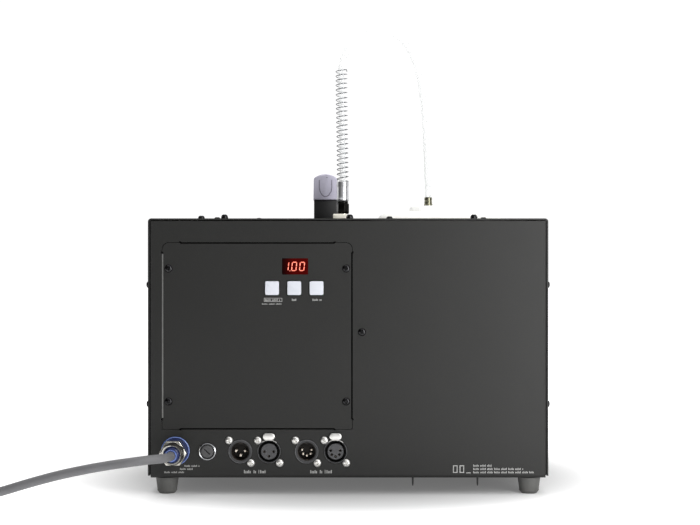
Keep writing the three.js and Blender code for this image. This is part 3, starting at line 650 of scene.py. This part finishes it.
# Points of the feed hose from its fitting to the canister: x, distance in from the rear wall, height.
HOSE_ROUTE = [
    (-5, 45, 284), (-5.4, 45, 322.3), (-6.1, 45, 359.4), (-6.3, 45.2, 387.7),
    (-4, 47, 398.6), (-0.35, 50, 407.4), (5.9, 56, 415.7), (14.9, 64, 422), (25.4, 74, 426),
    (37, 85, 428.1), (45.8, 92, 426.6), (54.2, 100, 420.5), (61.6, 106, 409.8), (67.7, 111, 394.4),
    (72, 115, 372.6), (74.5, 117, 349.4), (75.8, 118.5, 324.2), (77, 119.5, 297), (77.9, 120, 272.6),
]
SPRING_TURNS = 24
SPRING_RADIUS = 5.2 * MM
SPRING_WIRE = 0.85 * MM


def feed_hose():
    points = [Vector((x * MM, REAR + d * MM, z * MM)) for x, d, z in HOSE_ROUTE]
    route = smooth_route(points, 4 * MM)
    hose = draw_cord("feed_hose_outer", route, HOSE, "canister", "hose_plastic", ("hose",))
    guarded = smooth_route(points[:4], 2 * MM)
    steps = 16
    wire = []
    for i in range(SPRING_TURNS * steps + 1):
        along = i / (SPRING_TURNS * steps) * (len(guarded) - 1)
        at = guarded[min(int(along), len(guarded) - 2)].lerp(
            guarded[min(int(along) + 1, len(guarded) - 1)], along % 1)
        angle = math.tau * i / steps
        wire.append(at + Vector((SPRING_RADIUS * math.cos(angle), SPRING_RADIUS * math.sin(angle), 0)))
    spring = draw_cord("hose_spring_guard", wire, SPRING_WIRE, "canister", "spring_steel", ("hose_guard",), 4)
    return hose, route, spring


def hose_fitting():
    """Block, washer, union nut and crimp sleeve on the cover, and the ferrule on the canister's cap."""
    at = (middle("hose_sleeve").x, middle("hose_sleeve").y, 0)
    base = low("hose_sleeve").z / MM
    sleeve = turn([(3.2, base), (5.5, base), (5.8, base + 0.6), (5.8, base + 2.2), (5.5, base + 2.6),
                   (5.5, base + 13.4), (5.8, base + 13.8), (5.8, base + 17), (5.4, base + 17.9),
                   (3.2, base + 17.9), (3.2, base)])
    sleeve = finish_piece("hose_crimp_sleeve", place(sleeve, "up", at), "canister", "brushed_sleeve",
                          ("hose_sleeve",))
    base = low("fitting_nut").z / MM
    nut = soften(slab(hexagon(10.6, 50), 9.6, base), 0.9, 4)
    collar = turn([(0, base + 9.4), (4.9, base + 9.4), (5.1, base + 9.9), (5.1, base + 11.2),
                   (4.8, base + 11.6), (0, base + 11.6)])
    fixed("fitting_union_nut", merge(nut, collar), "up", at, "black_nickel",
          ("fitting_nut",))
    block_low, block_high = low("fitting_block"), high("fitting_block")
    seat = soften(brick((block_low.x, block_low.y, TOP + 0.05 * MM), block_high), 0.8, 3)
    stem = place(turn([(0, 236), (4, 236), (4, 249), (0, 249)], 24), "up", at)
    finish_piece("fitting_seat_block", merge(seat, stem), "housing", "ivory_plastic",
                 ("fitting_block",))
    washer = place(turn([(0, base - 0.35), (5.6, base - 0.35), (5.6, base), (0, base)]), "up", at)
    finish_piece("fitting_washer", washer, "housing", "nickel_plate")
    base = low("hose_ferrule").z / MM
    ferrule = turn([(0, base), (4.2, base), (4.2, base + 1.4), (3.8, base + 1.8), (3.8, base + 4.2),
                    (3.55, base + 4.5), (3.55, base + 5.1), (3.8, base + 5.4), (3.8, base + 7.7),
                    (3.4, base + 8.4), (0, base + 8.4)])
    ferrule = finish_piece("hose_end_ferrule", place(ferrule, "up", (*middle("hose_ferrule").xy, 0)),
                           "canister", "olive_brass", ("hose_ferrule",))
    return sleeve, ferrule


lead, lead_route = mains_lead()
plug, pins = mains_plug()
tie = coil_tie()
hose, hose_route, spring = feed_hose()
sleeve, ferrule = hose_fitting()


# ---------------------------------------------------------------- screws and other small repeated shapes

def pan_screw(radius, height):
    """Pan head with a cross recess, standing on local Z = 0."""
    head = turn([(0, height), (radius * 0.4, height * 0.98), (radius * 0.7, height * 0.86),
                 (radius * 0.9, height * 0.58), (radius, height * 0.22), (radius * 0.98, -0.1), (0, -0.1)],
                28)
    arm, reach = radius * 0.16, radius * 0.56
    plus = [(arm, arm), (arm, reach), (-arm, reach), (-arm, arm), (-reach, arm), (-reach, -arm),
            (-arm, -arm), (-arm, -reach), (arm, -reach), (arm, -arm), (reach, -arm), (reach, arm)]
    recess = slab(plus, height, height * 0.12)
    for vert in recess.verts:
        if vert.co.z < height * 0.5 * MM:
            vert.co.x *= 0.55
            vert.co.y *= 0.55
    return carve(head, recess)


def copies(source, places):
    """One mesh of a shape set down at each (facing, place), each turned a little further than the last."""
    made = []
    for i, (facing, at) in enumerate(places):
        made.append(place(rotate(source.copy(), 0.4 + 0.9 * i), facing, at))
    source.free()
    return merge(*made)


def on_rear(x, z, out=0.0):
    return "rear", (x * MM, REAR - out * MM, z * MM)


def on_side(side, depth, z):
    return "right" if side > 0 else "left", (side * SIDE, REAR + depth * MM, z * MM)


def on_top(x, depth):
    return "up", (x * MM, REAR + depth * MM, TOP)


def on_front(x, z):
    return "front", (x * MM, FRONT, z * MM)


panel_low, panel_high = low("service_panel") / MM, high("service_panel") / MM
SOCKET_HEIGHT = 38.7
SOCKETS = {name: (middle(name).x / MM, SOCKET_HEIGHT) for name in
           ("signal_in_3", "signal_out_3", "signal_in_5", "signal_out_5")}

finish_piece("panel_screws", copies(pan_screw(3.5, 2.1), [
    on_rear(panel_low.x + 5.6, 203.2), on_rear(panel_high.x - 5.4, 203.2), on_rear(panel_low.x + 5.6, 83.7),
    on_rear(panel_high.x - 5.4, 83.7), on_rear(12.5, 146.2)]), "housing", "screw_black")
finish_piece("socket_screws", copies(pan_screw(3.6, 2.2), [
    on_rear(x + dx, z + dz) for x, z in SOCKETS.values() for dx, dz in ((-10, 10.1), (9.7, -10.2))]),
    "housing", "screw_bright")
finish_piece("side_screws", copies(pan_screw(3.1, 2.3), [
    on_side(side, depth, z) for side in (-1, 1) for depth in (8, 145, 282) for z in (188.6, 81)]),
    "housing", "screw_black")
finish_piece("top_screws", copies(pan_screw(3.1, 2.9), [
    on_top(-133, 12), on_top(38, 34), on_top(127, 62), on_top(-122.5, 58), on_top(-85, 84),
    on_top(-133, 276), on_top(1.5, 276), on_top(127, 276)]), "housing", "screw_black")
finish_piece("top_tall_screws", copies(pan_screw(3.3, 4.0), [
    on_top(-112, 12), on_top(1.5, 12), on_top(114, 12)]), "housing", "screw_black")
finish_piece("front_screws", copies(pan_screw(3.1, 2.2), [
    on_front(x, z) for x in (-168, 0, 168) for z in (24, 238)]), "housing", "screw_black")
peg = turn([(0, -0.2), (0.9, -0.2), (0.8, 6), (0.5, 8), (0, 8.2)], 16)
finish_piece("support_pegs", copies(peg, [("down", (x * MM, REAR + 9 * MM, BASE)) for x in (58.5, 117)]),
             "housing", "black_plastic")


# ---------------------------------------------------------------- prints

def rear_marks(name, rectangles):
    """Screen print on the rear face: thin raised fields of (left, right, low, high) in millimetres."""
    fields = [brick((x0 * MM, REAR - 0.05 * MM, z0 * MM), (x1 * MM, REAR + 0.03 * MM, z1 * MM))
              for x0, x1, z0, z1 in rectangles]
    finish_piece(name, merge(*fields), "housing", "print_ink")


def frame_of(x0, x1, z0, z1, line=0.4):
    return [(x0, x1, z0, z0 + line), (x0, x1, z1 - line, z1),
            (x0, x0 + line, z0 + line, z1 - line), (x1 - line, x1, z0 + line, z1 - line)]


def stroke_row(x0, x1, z0, height, pitch=1.05):
    """A row of upright strokes of mixed height with a gap after every few, in place of words."""
    strokes = []
    for i in range(int((x1 - x0) / pitch)):
        if i % 6 == 5:
            continue
        x = x0 + pitch * i
        tall = height if (i * 7) % 5 < 2 else height * 0.72
        strokes.append((x, x + pitch * 0.62, z0, z0 + tall))
    return strokes


rear_marks("key_marks", frame_of(-75.6, -59.3, 173.4, 176.8) + stroke_row(-74.6, -60.2, 174.2, 1.8)
           + stroke_row(-77.4, -58, 170.9, 1.1) + stroke_row(-50.5, -46, 174.2, 2)
           + stroke_row(-32, -23.2, 174.2, 2))
rear_marks("socket_marks", [mark for x0 in (-93.6, -34.0) for first, last in ((0, 7), (8.6, 12), (14.6, 20.8))
                            for mark in stroke_row(x0 + first, x0 + last, 19.2, 2.9, 1.3)]
           + [(x0 + 13.1, x0 + 13.6, 19, 22.3) for x0 in (-93.6, -34.0)])
rear_marks("supply_marks", stroke_row(-147, -132.8, 25.1, 1.6) + stroke_row(-151, -138, 22.3, 1.6)
           + stroke_row(-165, -146.6, 19.4, 1.6))
rear_marks("rating_marks", frame_of(94.3, 98.4, 19.6, 26.4, 0.8) + frame_of(100.2, 104.3, 19.6, 26.4, 0.8)
           + [(106.2, 110.2, 19.2, 20)] + stroke_row(112.5, 130.3, 25.2, 1.9)
           + stroke_row(112.5, 158, 22.2, 1.9) + stroke_row(112.5, 167.2, 19.2, 1.9))


# ---------------------------------------------------------------- display and keys

def segment(x0, z0, x1, z1, width):
    """A bar between two points of a digit, pointed at both ends, that leans with the digits."""
    gap = 0.2
    along = Vector((x1 - x0, z1 - z0)).normalized()
    across = Vector((-along.y, along.x)) * width / 2
    first, last = Vector((x0, z0)) + along * gap, Vector((x1, z1)) - along * gap
    inner_first, inner_last = first + along * width / 2, last - along * width / 2
    return [tuple(p) for p in (first, inner_first - across, inner_last - across, last,
                               inner_last + across, inner_first + across)]


def digit(centre_x, lit):
    """The lit bars of a seven-segment digit, 8 mm high."""
    w, h, stroke, slant = 1.95, 3.75, 0.75, 0.11
    bars = {"a": (-w, h, w, h), "b": (w, 0, w, h), "c": (w, -h, w, 0), "d": (-w, -h, w, -h),
            "e": (-w, -h, -w, 0), "f": (-w, 0, -w, h), "g": (-w, 0, w, 0)}
    outlines = []
    for key in lit:
        outline = segment(*bars[key], stroke)
        outlines.append([(centre_x + x + slant * z, z) for x, z in outline])
    return outlines


def display():
    lens_x, lens_z = -47.7, 205.2
    thick, sunk = 0.09, -0.44
    pane = soften(slab(rounded(22.9, 14, 0.4, 2), 3.6, -4.0), 0.15, 1)
    back = slab([(-15, -9.5), (15, -9.5), (15, 9.5), (-15, 9.5)], 11.9, -13.7)
    fixed("display_filter", merge(pane, back), "rear", (lens_x * MM, REAR, lens_z * MM), "display_lens",
          ("display",))
    bars = []
    for centre_x, lit in ((-7.9, "bc"), (-0.8, "abcdef"), (6.3, "abcdef")):
        bars += [slab(outline, thick, sunk) for outline in digit(centre_x, lit)]
    dot = slab([(0.4 * x - 4.6, 0.4 * z - 4.0) for x, z in arc(0, 0, 1, 0, 315, 7)], thick, sunk)
    fixed("display_digits", merge(*bars, dot), "rear", (lens_x * MM, REAR, lens_z * MM), "lit_segment")


def key(name, body, node):
    centre = middle(node)
    width, corner, face = 12.4, 1.3, 1.7 * MM
    cap = slab(rounded(width, width, corner, 4), 5, -3.2)
    soften(cap, 0.45, 3, only=lambda e: all(v.co.z > face for v in e.verts))
    stem = slab([(-2.5, -2.5), (2.5, -2.5), (2.5, 2.5), (-2.5, 2.5)], 10, -13)
    finish_piece(name, place(merge(cap, stem), "rear", (centre.x, REAR, centre.z)), body, "key_plastic",
                 (node,))


display()
key("key_cap_left", "key_left", "key_1")
key("key_cap_middle", "key_middle", "key_2")
key("key_cap_right", "key_right", "key_3")


# ---------------------------------------------------------------- sockets

CONTACTS = {3: (4.1, (180, 270, 360)), 5: (4.4, (168, 219, 270, 321, 372))}


def contact_offsets(count):
    radius, angles = CONTACTS[count]
    return [(radius * MM * math.cos(a), radius * MM * math.sin(a)) for a in map(math.radians, angles)]


def contact_places(count, at):
    return [("rear", (at.x + x, at.y, at.z + z)) for x, z in contact_offsets(count)]


def flange(bore):
    """The socket's square flange behind the wall, open over its mouth."""
    hole = turn([(0, -5), (bore, -5), (bore, -1), (0, -1)], 56)
    return carve(slab(rounded(25.6, 31, 2), 2, -3.8), hole)


def plug_socket(node, count):
    """Male chassis socket: shell, dark liner with a key ridge, and gold pins."""
    x, z = SOCKETS[node]
    at = Vector((x * MM, REAR, z * MM))
    shell = turn([(0, -25.5), (12, -25.5), (12, -1.9), (10.6, -1.9), (10.6, 0.1), (10.1, 0.6), (8.7, 0.6),
                  (8.25, 0.2), (8.25, -14.6), (0, -14.6)], 56)
    fixed(node + "_shell", merge(shell, flange(11)), "rear", at, "socket_shell", (node,))
    # Painted highlight: a lighter grey ring round the mouth stands for the light its rounded edge catches.
    rim = turn([(10.1, -0.4), (10.6, -0.2), (10.62, 0.3), (10.35, 0.75), (10.05, 0.6), (10.1, -0.4)], 64)
    fixed(node + "_rim", rim, "rear", at, "socket_rim_highlight")
    liner = turn([(0, -14.55), (8.2, -14.55), (8.2, -0.3), (7.85, -0.5), (7.85, -14.1), (0, -14.1)], 48)
    ridge = brick((-1.4 * MM, 6.7 * MM, -13.9 * MM), (1.4 * MM, 7.95 * MM, -1.2 * MM))
    fixed(node + "_liner", merge(liner, ridge), "rear", at, "dark_recess")
    r = 1.1 if count == 3 else 0.9
    pin = turn([(0, -14.3), (r, -14.3), (r, -4.9), (0.83 * r, -4.4), (0.5 * r, -4.1), (0, -4.0)], 20)
    finish_piece(node + "_pins", copies(pin, contact_places(count, at)), "housing", "contact_pale_highlight")


def receptacle(node, count):
    """Female chassis socket: shell, rim, and grey insert with contact holes and sleeves."""
    x, z = SOCKETS[node]
    at = Vector((x * MM, REAR, z * MM))
    can = turn([(0, -25.5), (12, -25.5), (12, -1.9), (10.0, -1.9), (10.0, 0.2), (9.7, 0.45), (9.35, 0.2),
                (9.35, -11.4), (0, -11.4)], 56)
    slot = slab([(-3.2, 11.3), (3.2, 11.3), (3.2, 15.7), (-3.2, 15.7)], 12, -9)
    fixed(node + "_shell", merge(carve(flange(11), slot), can), "rear", at, "deep_black",
          (node,))
    # Painted highlight: a lighter grey ring round the mouth stands for the light its rounded edge catches.
    rim = turn([(10.0, -1.6), (10.45, -1.6), (10.45, 0.3), (10.25, 0.55), (10.0, 0.55), (9.95, 0.3),
                (10.0, -1.6)], 64)
    fixed(node + "_rim", rim, "rear", at, "socket_rim_highlight")
    insert = turn([(0, -11.45), (7.25, -11.45), (7.25, -0.1), (6.95, 0.2), (0, 0.2)], 48)
    for across, up in contact_offsets(count):
        insert = carve(insert, move(turn([(0, -9.5), (1.25, -9.5), (1.25, 1), (0, 1)], 20), across, up, 0))
    fixed(node + "_insert", insert, "rear", at, "insert_grey")
    contact = turn([(0.8, -9.4), (1.22, -9.4), (1.22, -4.6), (1.0, -4.4), (0.8, -4.6), (0.8, -9.4)], 16)
    finish_piece(node + "_sleeves", copies(contact, contact_places(count, at)), "housing", "contact_pale_highlight")


def latch(node, body):
    """Release tab: an oval plate on a neck that spreads into an arc along the socket's rim."""
    x = middle(node).x
    plate = move(soften(slab(rounded(10.8, 5.9, 2.8, 8), 2.2, 2.0), 0.5, 3), 0, 0.3 * MM, 0)
    neck = soften(slab([(-4, -1.8), (-2.9, -3.2), (2.9, -3.2), (4, -1.8)], 1.6, 2.1), 0.15, 1)
    start, end, below = 128, 50, -13.5
    outer, inner = arc(0, below, 10.95, start, end, 24), arc(0, below, 10.5, end, start, 24)
    leg = soften(slab(outer + inner, 0.8, 1.5), 0.1, 1)
    stem = slab([(-2.5, -1.6), (2.5, -1.6), (2.5, 1.6), (-2.5, 1.6)], 7, -4.8)
    foot = slab([(-2.5, -2.9), (2.5, -2.9), (2.5, -1.4), (-2.5, -1.4)], 1.9, 1.5)
    finish_piece(node + "_tab", place(merge(plate, neck, leg, stem, foot), "rear", (x, REAR, middle(node).z)),
                 body, "screw_bright", (node,))


plug_socket("signal_in_3", 3)
plug_socket("signal_in_5", 5)
receptacle("signal_out_3", 3)
receptacle("signal_out_5", 5)
latch("signal_out_3_latch", "latch_3")
latch("signal_out_5_latch", "latch_5")


# ---------------------------------------------------------------- fuse and cord gland

def fuse():
    at = Vector((middle("fuse_holder").x, REAR, middle("fuse_holder").z))
    collar = turn([(0, -30), (5.8, -30), (6.5, -0.4), (7.0, 0.3), (7.0, 2.2), (5.9, 2.6), (5.9, -18),
                   (0, -18)], 48)
    fixed("fuse_collar", collar, "rear", at, "black_plastic", ("fuse_holder",))
    bezel = turn([(6.5, 0.1), (7.6, 0.1), (7.75, 0.4), (7.75, 2.45), (7.6, 2.7), (6.95, 2.98), (6.8, 2.9),
                  (6.75, 0.1), (6.5, 0.1)], 56)
    fixed("fuse_bezel", bezel, "rear", at, "chrome_plate")
    cap = turn([(0, -12), (5.6, -12), (5.6, 2.9), (5.2, 3.45), (4.7, 3.6), (0, 3.6)], 48)
    groove = rotate(slab([(-3.4, -0.6), (3.4, -0.6), (3.4, 0.6), (-3.4, 0.6)], 4, 1.6), -math.pi / 4)
    finish_piece("fuse_carrier_cap", place(carve(cap, groove), "rear", at), "fuse", "fuse_grey",
                 ("fuse_cap",))


def gland():
    """Washer against the wall, body hexagon, domed nut and the seal that grips the lead."""
    at = Vector((middle("gland_washer").x, REAR, middle("gland_washer").z))
    washer = turn([(8.3, 0.25), (12.2, 0.25), (12.4, 0.7), (12.4, 1.6), (12.0, 2.1), (8.3, 2.1),
                   (8.3, 0.25)], 56)
    fixed("gland_seal_washer", washer, "rear", at, "blue_plastic", ("gland_washer",))
    # Painted highlight: a lighter blue ring round the washer's edge.
    lip = turn([(12.0, 0.4), (12.8, 0.4), (12.85, 1.2), (12.7, 2.0), (12.2, 2.3), (11.9, 2.0), (12.0, 0.4)],
               64)
    fixed("gland_washer_lip", lip, "rear", at, "blue_edge_highlight")
    stub = turn([(0, -12), (7.8, -12), (7.8, 4), (0, 4)], 40)
    threads = [turn([(7.6, h), (7.95, h + 0.5), (7.6, h + 1.0), (7.6, h)], 32)
               for h in (-11.5, -10, -8.5, -7)]
    base = soften(slab(hexagon(20, 0), 7.6, 2.4), 0.8, 3)
    fixed("gland_body_hex", merge(stub, base, *threads), "rear", at, "nickel_plate",
          ("gland_body",))
    grip = soften(slab(hexagon(21.4, 0), 11, 10.5), 0.9, 3)
    dome = turn([(0, 21), (10.2, 21), (10.4, 21.8), (10.2, 24), (9.6, 27), (8.9, 29.6), (8.4, 31.2),
                 (7.9, 31.9), (7.4, 31.8), (7.2, 31.2), (7.2, 27), (0, 27)], 56)
    fixed("gland_dome_nut", merge(grip, dome), "rear", at, "nickel_plate", ("gland_nut",))
    seal = turn([(0, 27.2), (7.1, 27.2), (7.1, 30.6), (6.6, 31.4), (5.4, 32), (5.2, 37.2), (4.9, 37.8),
                 (0, 37.8)], 48)
    fixed("gland_cord_seal", seal, "rear", at, "blue_plastic", ("gland_seal",))
    # Painted highlight: a lighter blue ring round the seal's lip.
    ring = turn([(4.2, 36.6), (5.3, 36.6), (5.35, 37.4), (5.0, 38), (4.4, 38), (4.2, 37.4), (4.2, 36.6)], 48)
    fixed("gland_seal_lip", ring, "rear", at, "blue_edge_highlight")


fuse()
gland()


# ---------------------------------------------------------------- handle and feet

def side_shape(outline, x0, x1):
    """An outline of (depth, height) in millimetres of world Y and Z, filled from x0 to x1."""
    bm = slab([(-z, y) for y, z in outline], x1 - x0, x0)
    return place(bm, "right", (0, 0, 0))


def handle():
    first, last = low("handle") / MM, high("handle") / MM
    foot, shoulder, rise = first.z, 268.7, last.z - 2.5
    ledge, post, bend, grip = 14.3, 22, 10, 23
    crown = [(first.y + ledge + (last.y - first.y - 2 * ledge) * t, rise + 10 * t * (1 - t)) for t in
             [i / 12 for i in range(13)]]
    outline = ([(first.y, foot), (first.y, shoulder), (first.y + ledge, shoulder)] + crown
               + [(last.y - ledge, shoulder), (last.y, shoulder), (last.y, foot), (last.y - post, foot)]
               + arc(last.y - post - bend, rise - grip, bend, 0, 90, 8)
               + arc(first.y + post + bend, rise - grip, bend, 90, 180, 8) + [(first.y + post, foot)])
    bar = side_shape(outline, first.x, last.x)
    bmesh.ops.recalc_face_normals(bar, faces=bar.faces)
    soften(bar, 1.2, 3, 40)
    finish_piece("carry_handle", bar, "housing", "black_plastic", ("handle",))


def handle_cap(name, node, facing):
    """Moulded end cap with an arched top and a shield outline sunk into its face."""
    box_low, box_high = low(node) / MM, high(node) / MM
    x, shoulder, depth = middle(node).x, box_low.z, box_high.y - box_low.y
    side, top = (box_high.x - box_low.x) / 2, box_high.z - box_low.z
    crown = [(side - 1.2, top - 3.4)]
    crown += [((side - 1.8) * (1 - 2 * t), top - 2.9 + 11.6 * t * (1 - t))
              for t in [i / 14 for i in range(15)]]
    crown += [(1.2 - side, top - 3.4)]
    face = [(-side, 0), (side, 0), (side - 0.4, top - 4.6)] + crown + [(0.4 - side, top - 4.6)]
    cap = soften(slab(face, depth), 1.1, 3, 25,
                 only=lambda e: all(v.co.z > (depth - 0.1) * MM for v in e.verts))
    shield = [(-6.3, 19), (-6.4, 12), (-5.5, 7.6), (-3.4, 4.2), (-1, 2.6), (1, 2.6), (3.4, 4.2), (5.5, 7.6),
              (6.4, 12), (6.3, 19)]

    def scaled(across, below, above, waist=12):
        """The shield scaled across, and down and up from its waist."""
        return [(across * a, waist + (below if b < waist else above) * (b - waist)) for a, b in shield]

    inside = scaled(0.87, 0.9, 1.6)
    groove = carve(slab(shield, 2, depth - 0.9), slab(inside, 4, depth - 2))
    cap = carve(carve(cap, groove), slab(arc(1.4, 21.2, 0.6, 0, 315, 7), 2, depth - 1))
    at = (x, (box_high.y if facing == "rear" else box_low.y) * MM, shoulder * MM)
    fixed(name, cap, facing, at, "grey_plastic", (node,), 30)
    # Painted shade: a line of darker grey lies in the groove and in the dot over it, standing for the shadow
    # inside them.
    line = carve(slab(scaled(0.99, 0.99, 0.99), 0.5, depth - 0.86),
                 slab(scaled(0.88, 0.91, 1.6), 4, depth - 2))
    dot = slab(arc(1.4, 21.2, 0.55, 0, 315, 7), 0.5, depth - 0.96)
    fixed(name + "_line", merge(line, dot), facing, at, "groove_painted_shade")


def foot(node):
    at = (middle(node).x, middle(node).y, 0)
    rubber = turn([(3.4, 3.2), (3.6, 0.4), (4.0, 0), (6.8, 0), (7.2, 0.25), (8.3, 1.7), (8.75, 2.2),
                   (9.0, 2.7), (9.0, 3.3), (8.85, 3.6), (10.25, 13.9), (10.35, 14.6), (0, 14.6), (0, 3.2),
                   (3.4, 3.2)], 44)
    fixed(node + "_rubber", rubber, "up", at, "foot_rubber", (node,))
    screw = pan_screw(2.9, 1.6)
    fixed(node + "_screw", screw, "down", (at[0], at[1], 3.2 * MM), "screw_bright")


handle()
handle_cap("handle_end_rear", "handle_cap_rear", "rear")
handle_cap("handle_end_front", "handle_cap_front", "front")
for corner in ("foot_rear_left", "foot_rear_right", "foot_front_left", "foot_front_right"):
    foot(corner)

# Painted shade: a black sheet between the service panel and its frame stands for the shadow seen in the gap
# and the reliefs.
gap_shade_x, gap_shade_z = (panel_low.x + panel_high.x) / 2, (panel_low.z + panel_high.z) / 2
gap_shade_piece = carve(slab(rounded(panel_high.x - panel_low.x + 6, panel_high.z - panel_low.z + 6, 3), 0.26, -1.78),
               slab(rounded(panel_high.x - panel_low.x - 8, panel_high.z - panel_low.z - 8, 3), 4, -3))
fixed("panel_gap_shade", gap_shade_piece, "rear", (gap_shade_x * MM, REAR, gap_shade_z * MM), "gap_shade_black")

# Painted highlight: a strip of lighter metal in the gap down the service panel's left side stands for the
# light that the panel's bent-in edge catches there.
finish_piece("panel_edge_highlight", brick(
    ((panel_low.x - 0.35) * MM, REAR + 0.35 * MM, (panel_low.z + 10) * MM),
    ((panel_low.x + 0.85) * MM, REAR + 1.3 * MM, (panel_high.z - 10) * MM)), "housing", "edge_highlight_metal")


# ---------------------------------------------------------------- canister

def canister():
    first, last = low("canister") / MM, high("canister") / MM
    neck = middle("canister_cap") / MM
    across, deep = last.x - first.x, last.y - first.y
    centre = (middle("canister").x, middle("canister").y, 0)
    at_neck = (neck.x * MM, neck.y * MM, 0)
    shoulder, mouth = 257, last.z
    wall, corner, roll, well, bore = 2, 22, 12, 28, 16.5

    def bottle(inset):
        body = slab(rounded(across - 2 * inset, deep - 2 * inset, corner - inset, 8),
                    shoulder - first.z - 2 * inset, first.z + inset)
        return place(soften(body, roll - inset, 5, 40), "up", centre)

    def drum(radius, bottom, top):
        return place(turn([(0, bottom), (radius, bottom), (radius, top), (0, top)], 56), "up", at_neck)

    shell = carve(bottle(0), drum(well, mouth - 17, mouth))
    hollow = carve(bottle(wall), drum(well + wall, mouth - 21, mouth))
    shell = carve(carve(shell, hollow), drum(bore, mouth - 24, mouth - 12))
    ring = place(turn([(bore, mouth - 18.4), (18.5, mouth - 18.4), (18.5, mouth - 0.6), (18.1, mouth),
                       (16.9, mouth), (bore, mouth - 0.4), (bore, mouth - 18.4)], 56), "up", at_neck)
    ticks = [brick((last.x - 0.3, y0, z), (last.x + 0.35, y0 + length, z + 1))
             for z, y0, length in ((60 + 32 * i, -30, 14 if i % 2 else 24) for i in range(5))]
    for tick in ticks:
        bmesh.ops.scale(tick, vec=(MM, MM, MM), verts=tick.verts)
    finish_piece("canister_bottle", merge(shell, ring, *ticks), "canister", "canister_plastic",
                 ("canister",), 28)


def canister_cap():
    base, top = low("canister_cap").z / MM, high("canister_cap").z / MM
    at = (*middle("canister_cap").xy, 0)
    lid = turn([(0, top - 3.3), (18.9, top - 3.3), (19.1, base), (21.4, base), (21.6, base + 0.4),
                (21.5, base + 3.0), (21.2, base + 3.2), (21.2, top - 1.6), (20.6, top - 0.5),
                (19.8, top - 0.1), (9, top - 0.1), (8.6, top), (5.4, top), (5.2, top - 0.2),
                (0, top - 0.2)], 72)
    count = 48
    ribs = [rotate(brick((20.9 * MM, -0.6 * MM, (base + 3.4) * MM), (21.5 * MM, 0.6 * MM, (top - 1.7) * MM)),
                   math.tau * i / count) for i in range(count)]
    finish_piece("canister_screw_cap", place(merge(lid, *ribs), "up", at), "cap", "cap_polyethylene",
                 ("canister_cap",))


canister()
canister_cap()


# ---------------------------------------------------------------- outlet

def outlet():
    at = (middle("nozzle").x, FRONT, middle("nozzle").z)
    tip = (high("nozzle").y - FRONT) / MM
    back = (low("nozzle").y - FRONT) / MM
    nozzle = turn([(0, back), (9.8, back), (9.8, 0.3), (16.4, 0.3), (17, 0.8), (17, 2.4), (16.4, 3),
                   (13.2, 3.2), (12.4, 4), (8.2, tip - 0.8), (7.4, tip), (5.2, tip), (4.5, tip - 0.8),
                   (4.5, -15), (0, -15)], 56)
    fixed("fog_nozzle", nozzle, "front", at, "nozzle_steel", ("nozzle",))
    ring, face = 14.6 * MM, FRONT + 2.9 * MM
    heads = [("front", (at[0] + ring * math.cos(a), face, at[2] + ring * math.sin(a)))
             for a in (math.pi / 2, math.pi * 7 / 6, math.pi * 11 / 6)]
    finish_piece("nozzle_screws", copies(pan_screw(1.7, 1.2), heads), "housing", "screw_bright")


outlet()


# ---------------------------------------------------------------- carried-over nodes

SLOTS = {s["node"]: s["material_slot"] for s in frame["record"]["subparts"]}
for name, node in frame["nodes"].items():
    for material_slot in node.material_slots:
        material_slot.material = MATERIALS[SLOTS[name]]
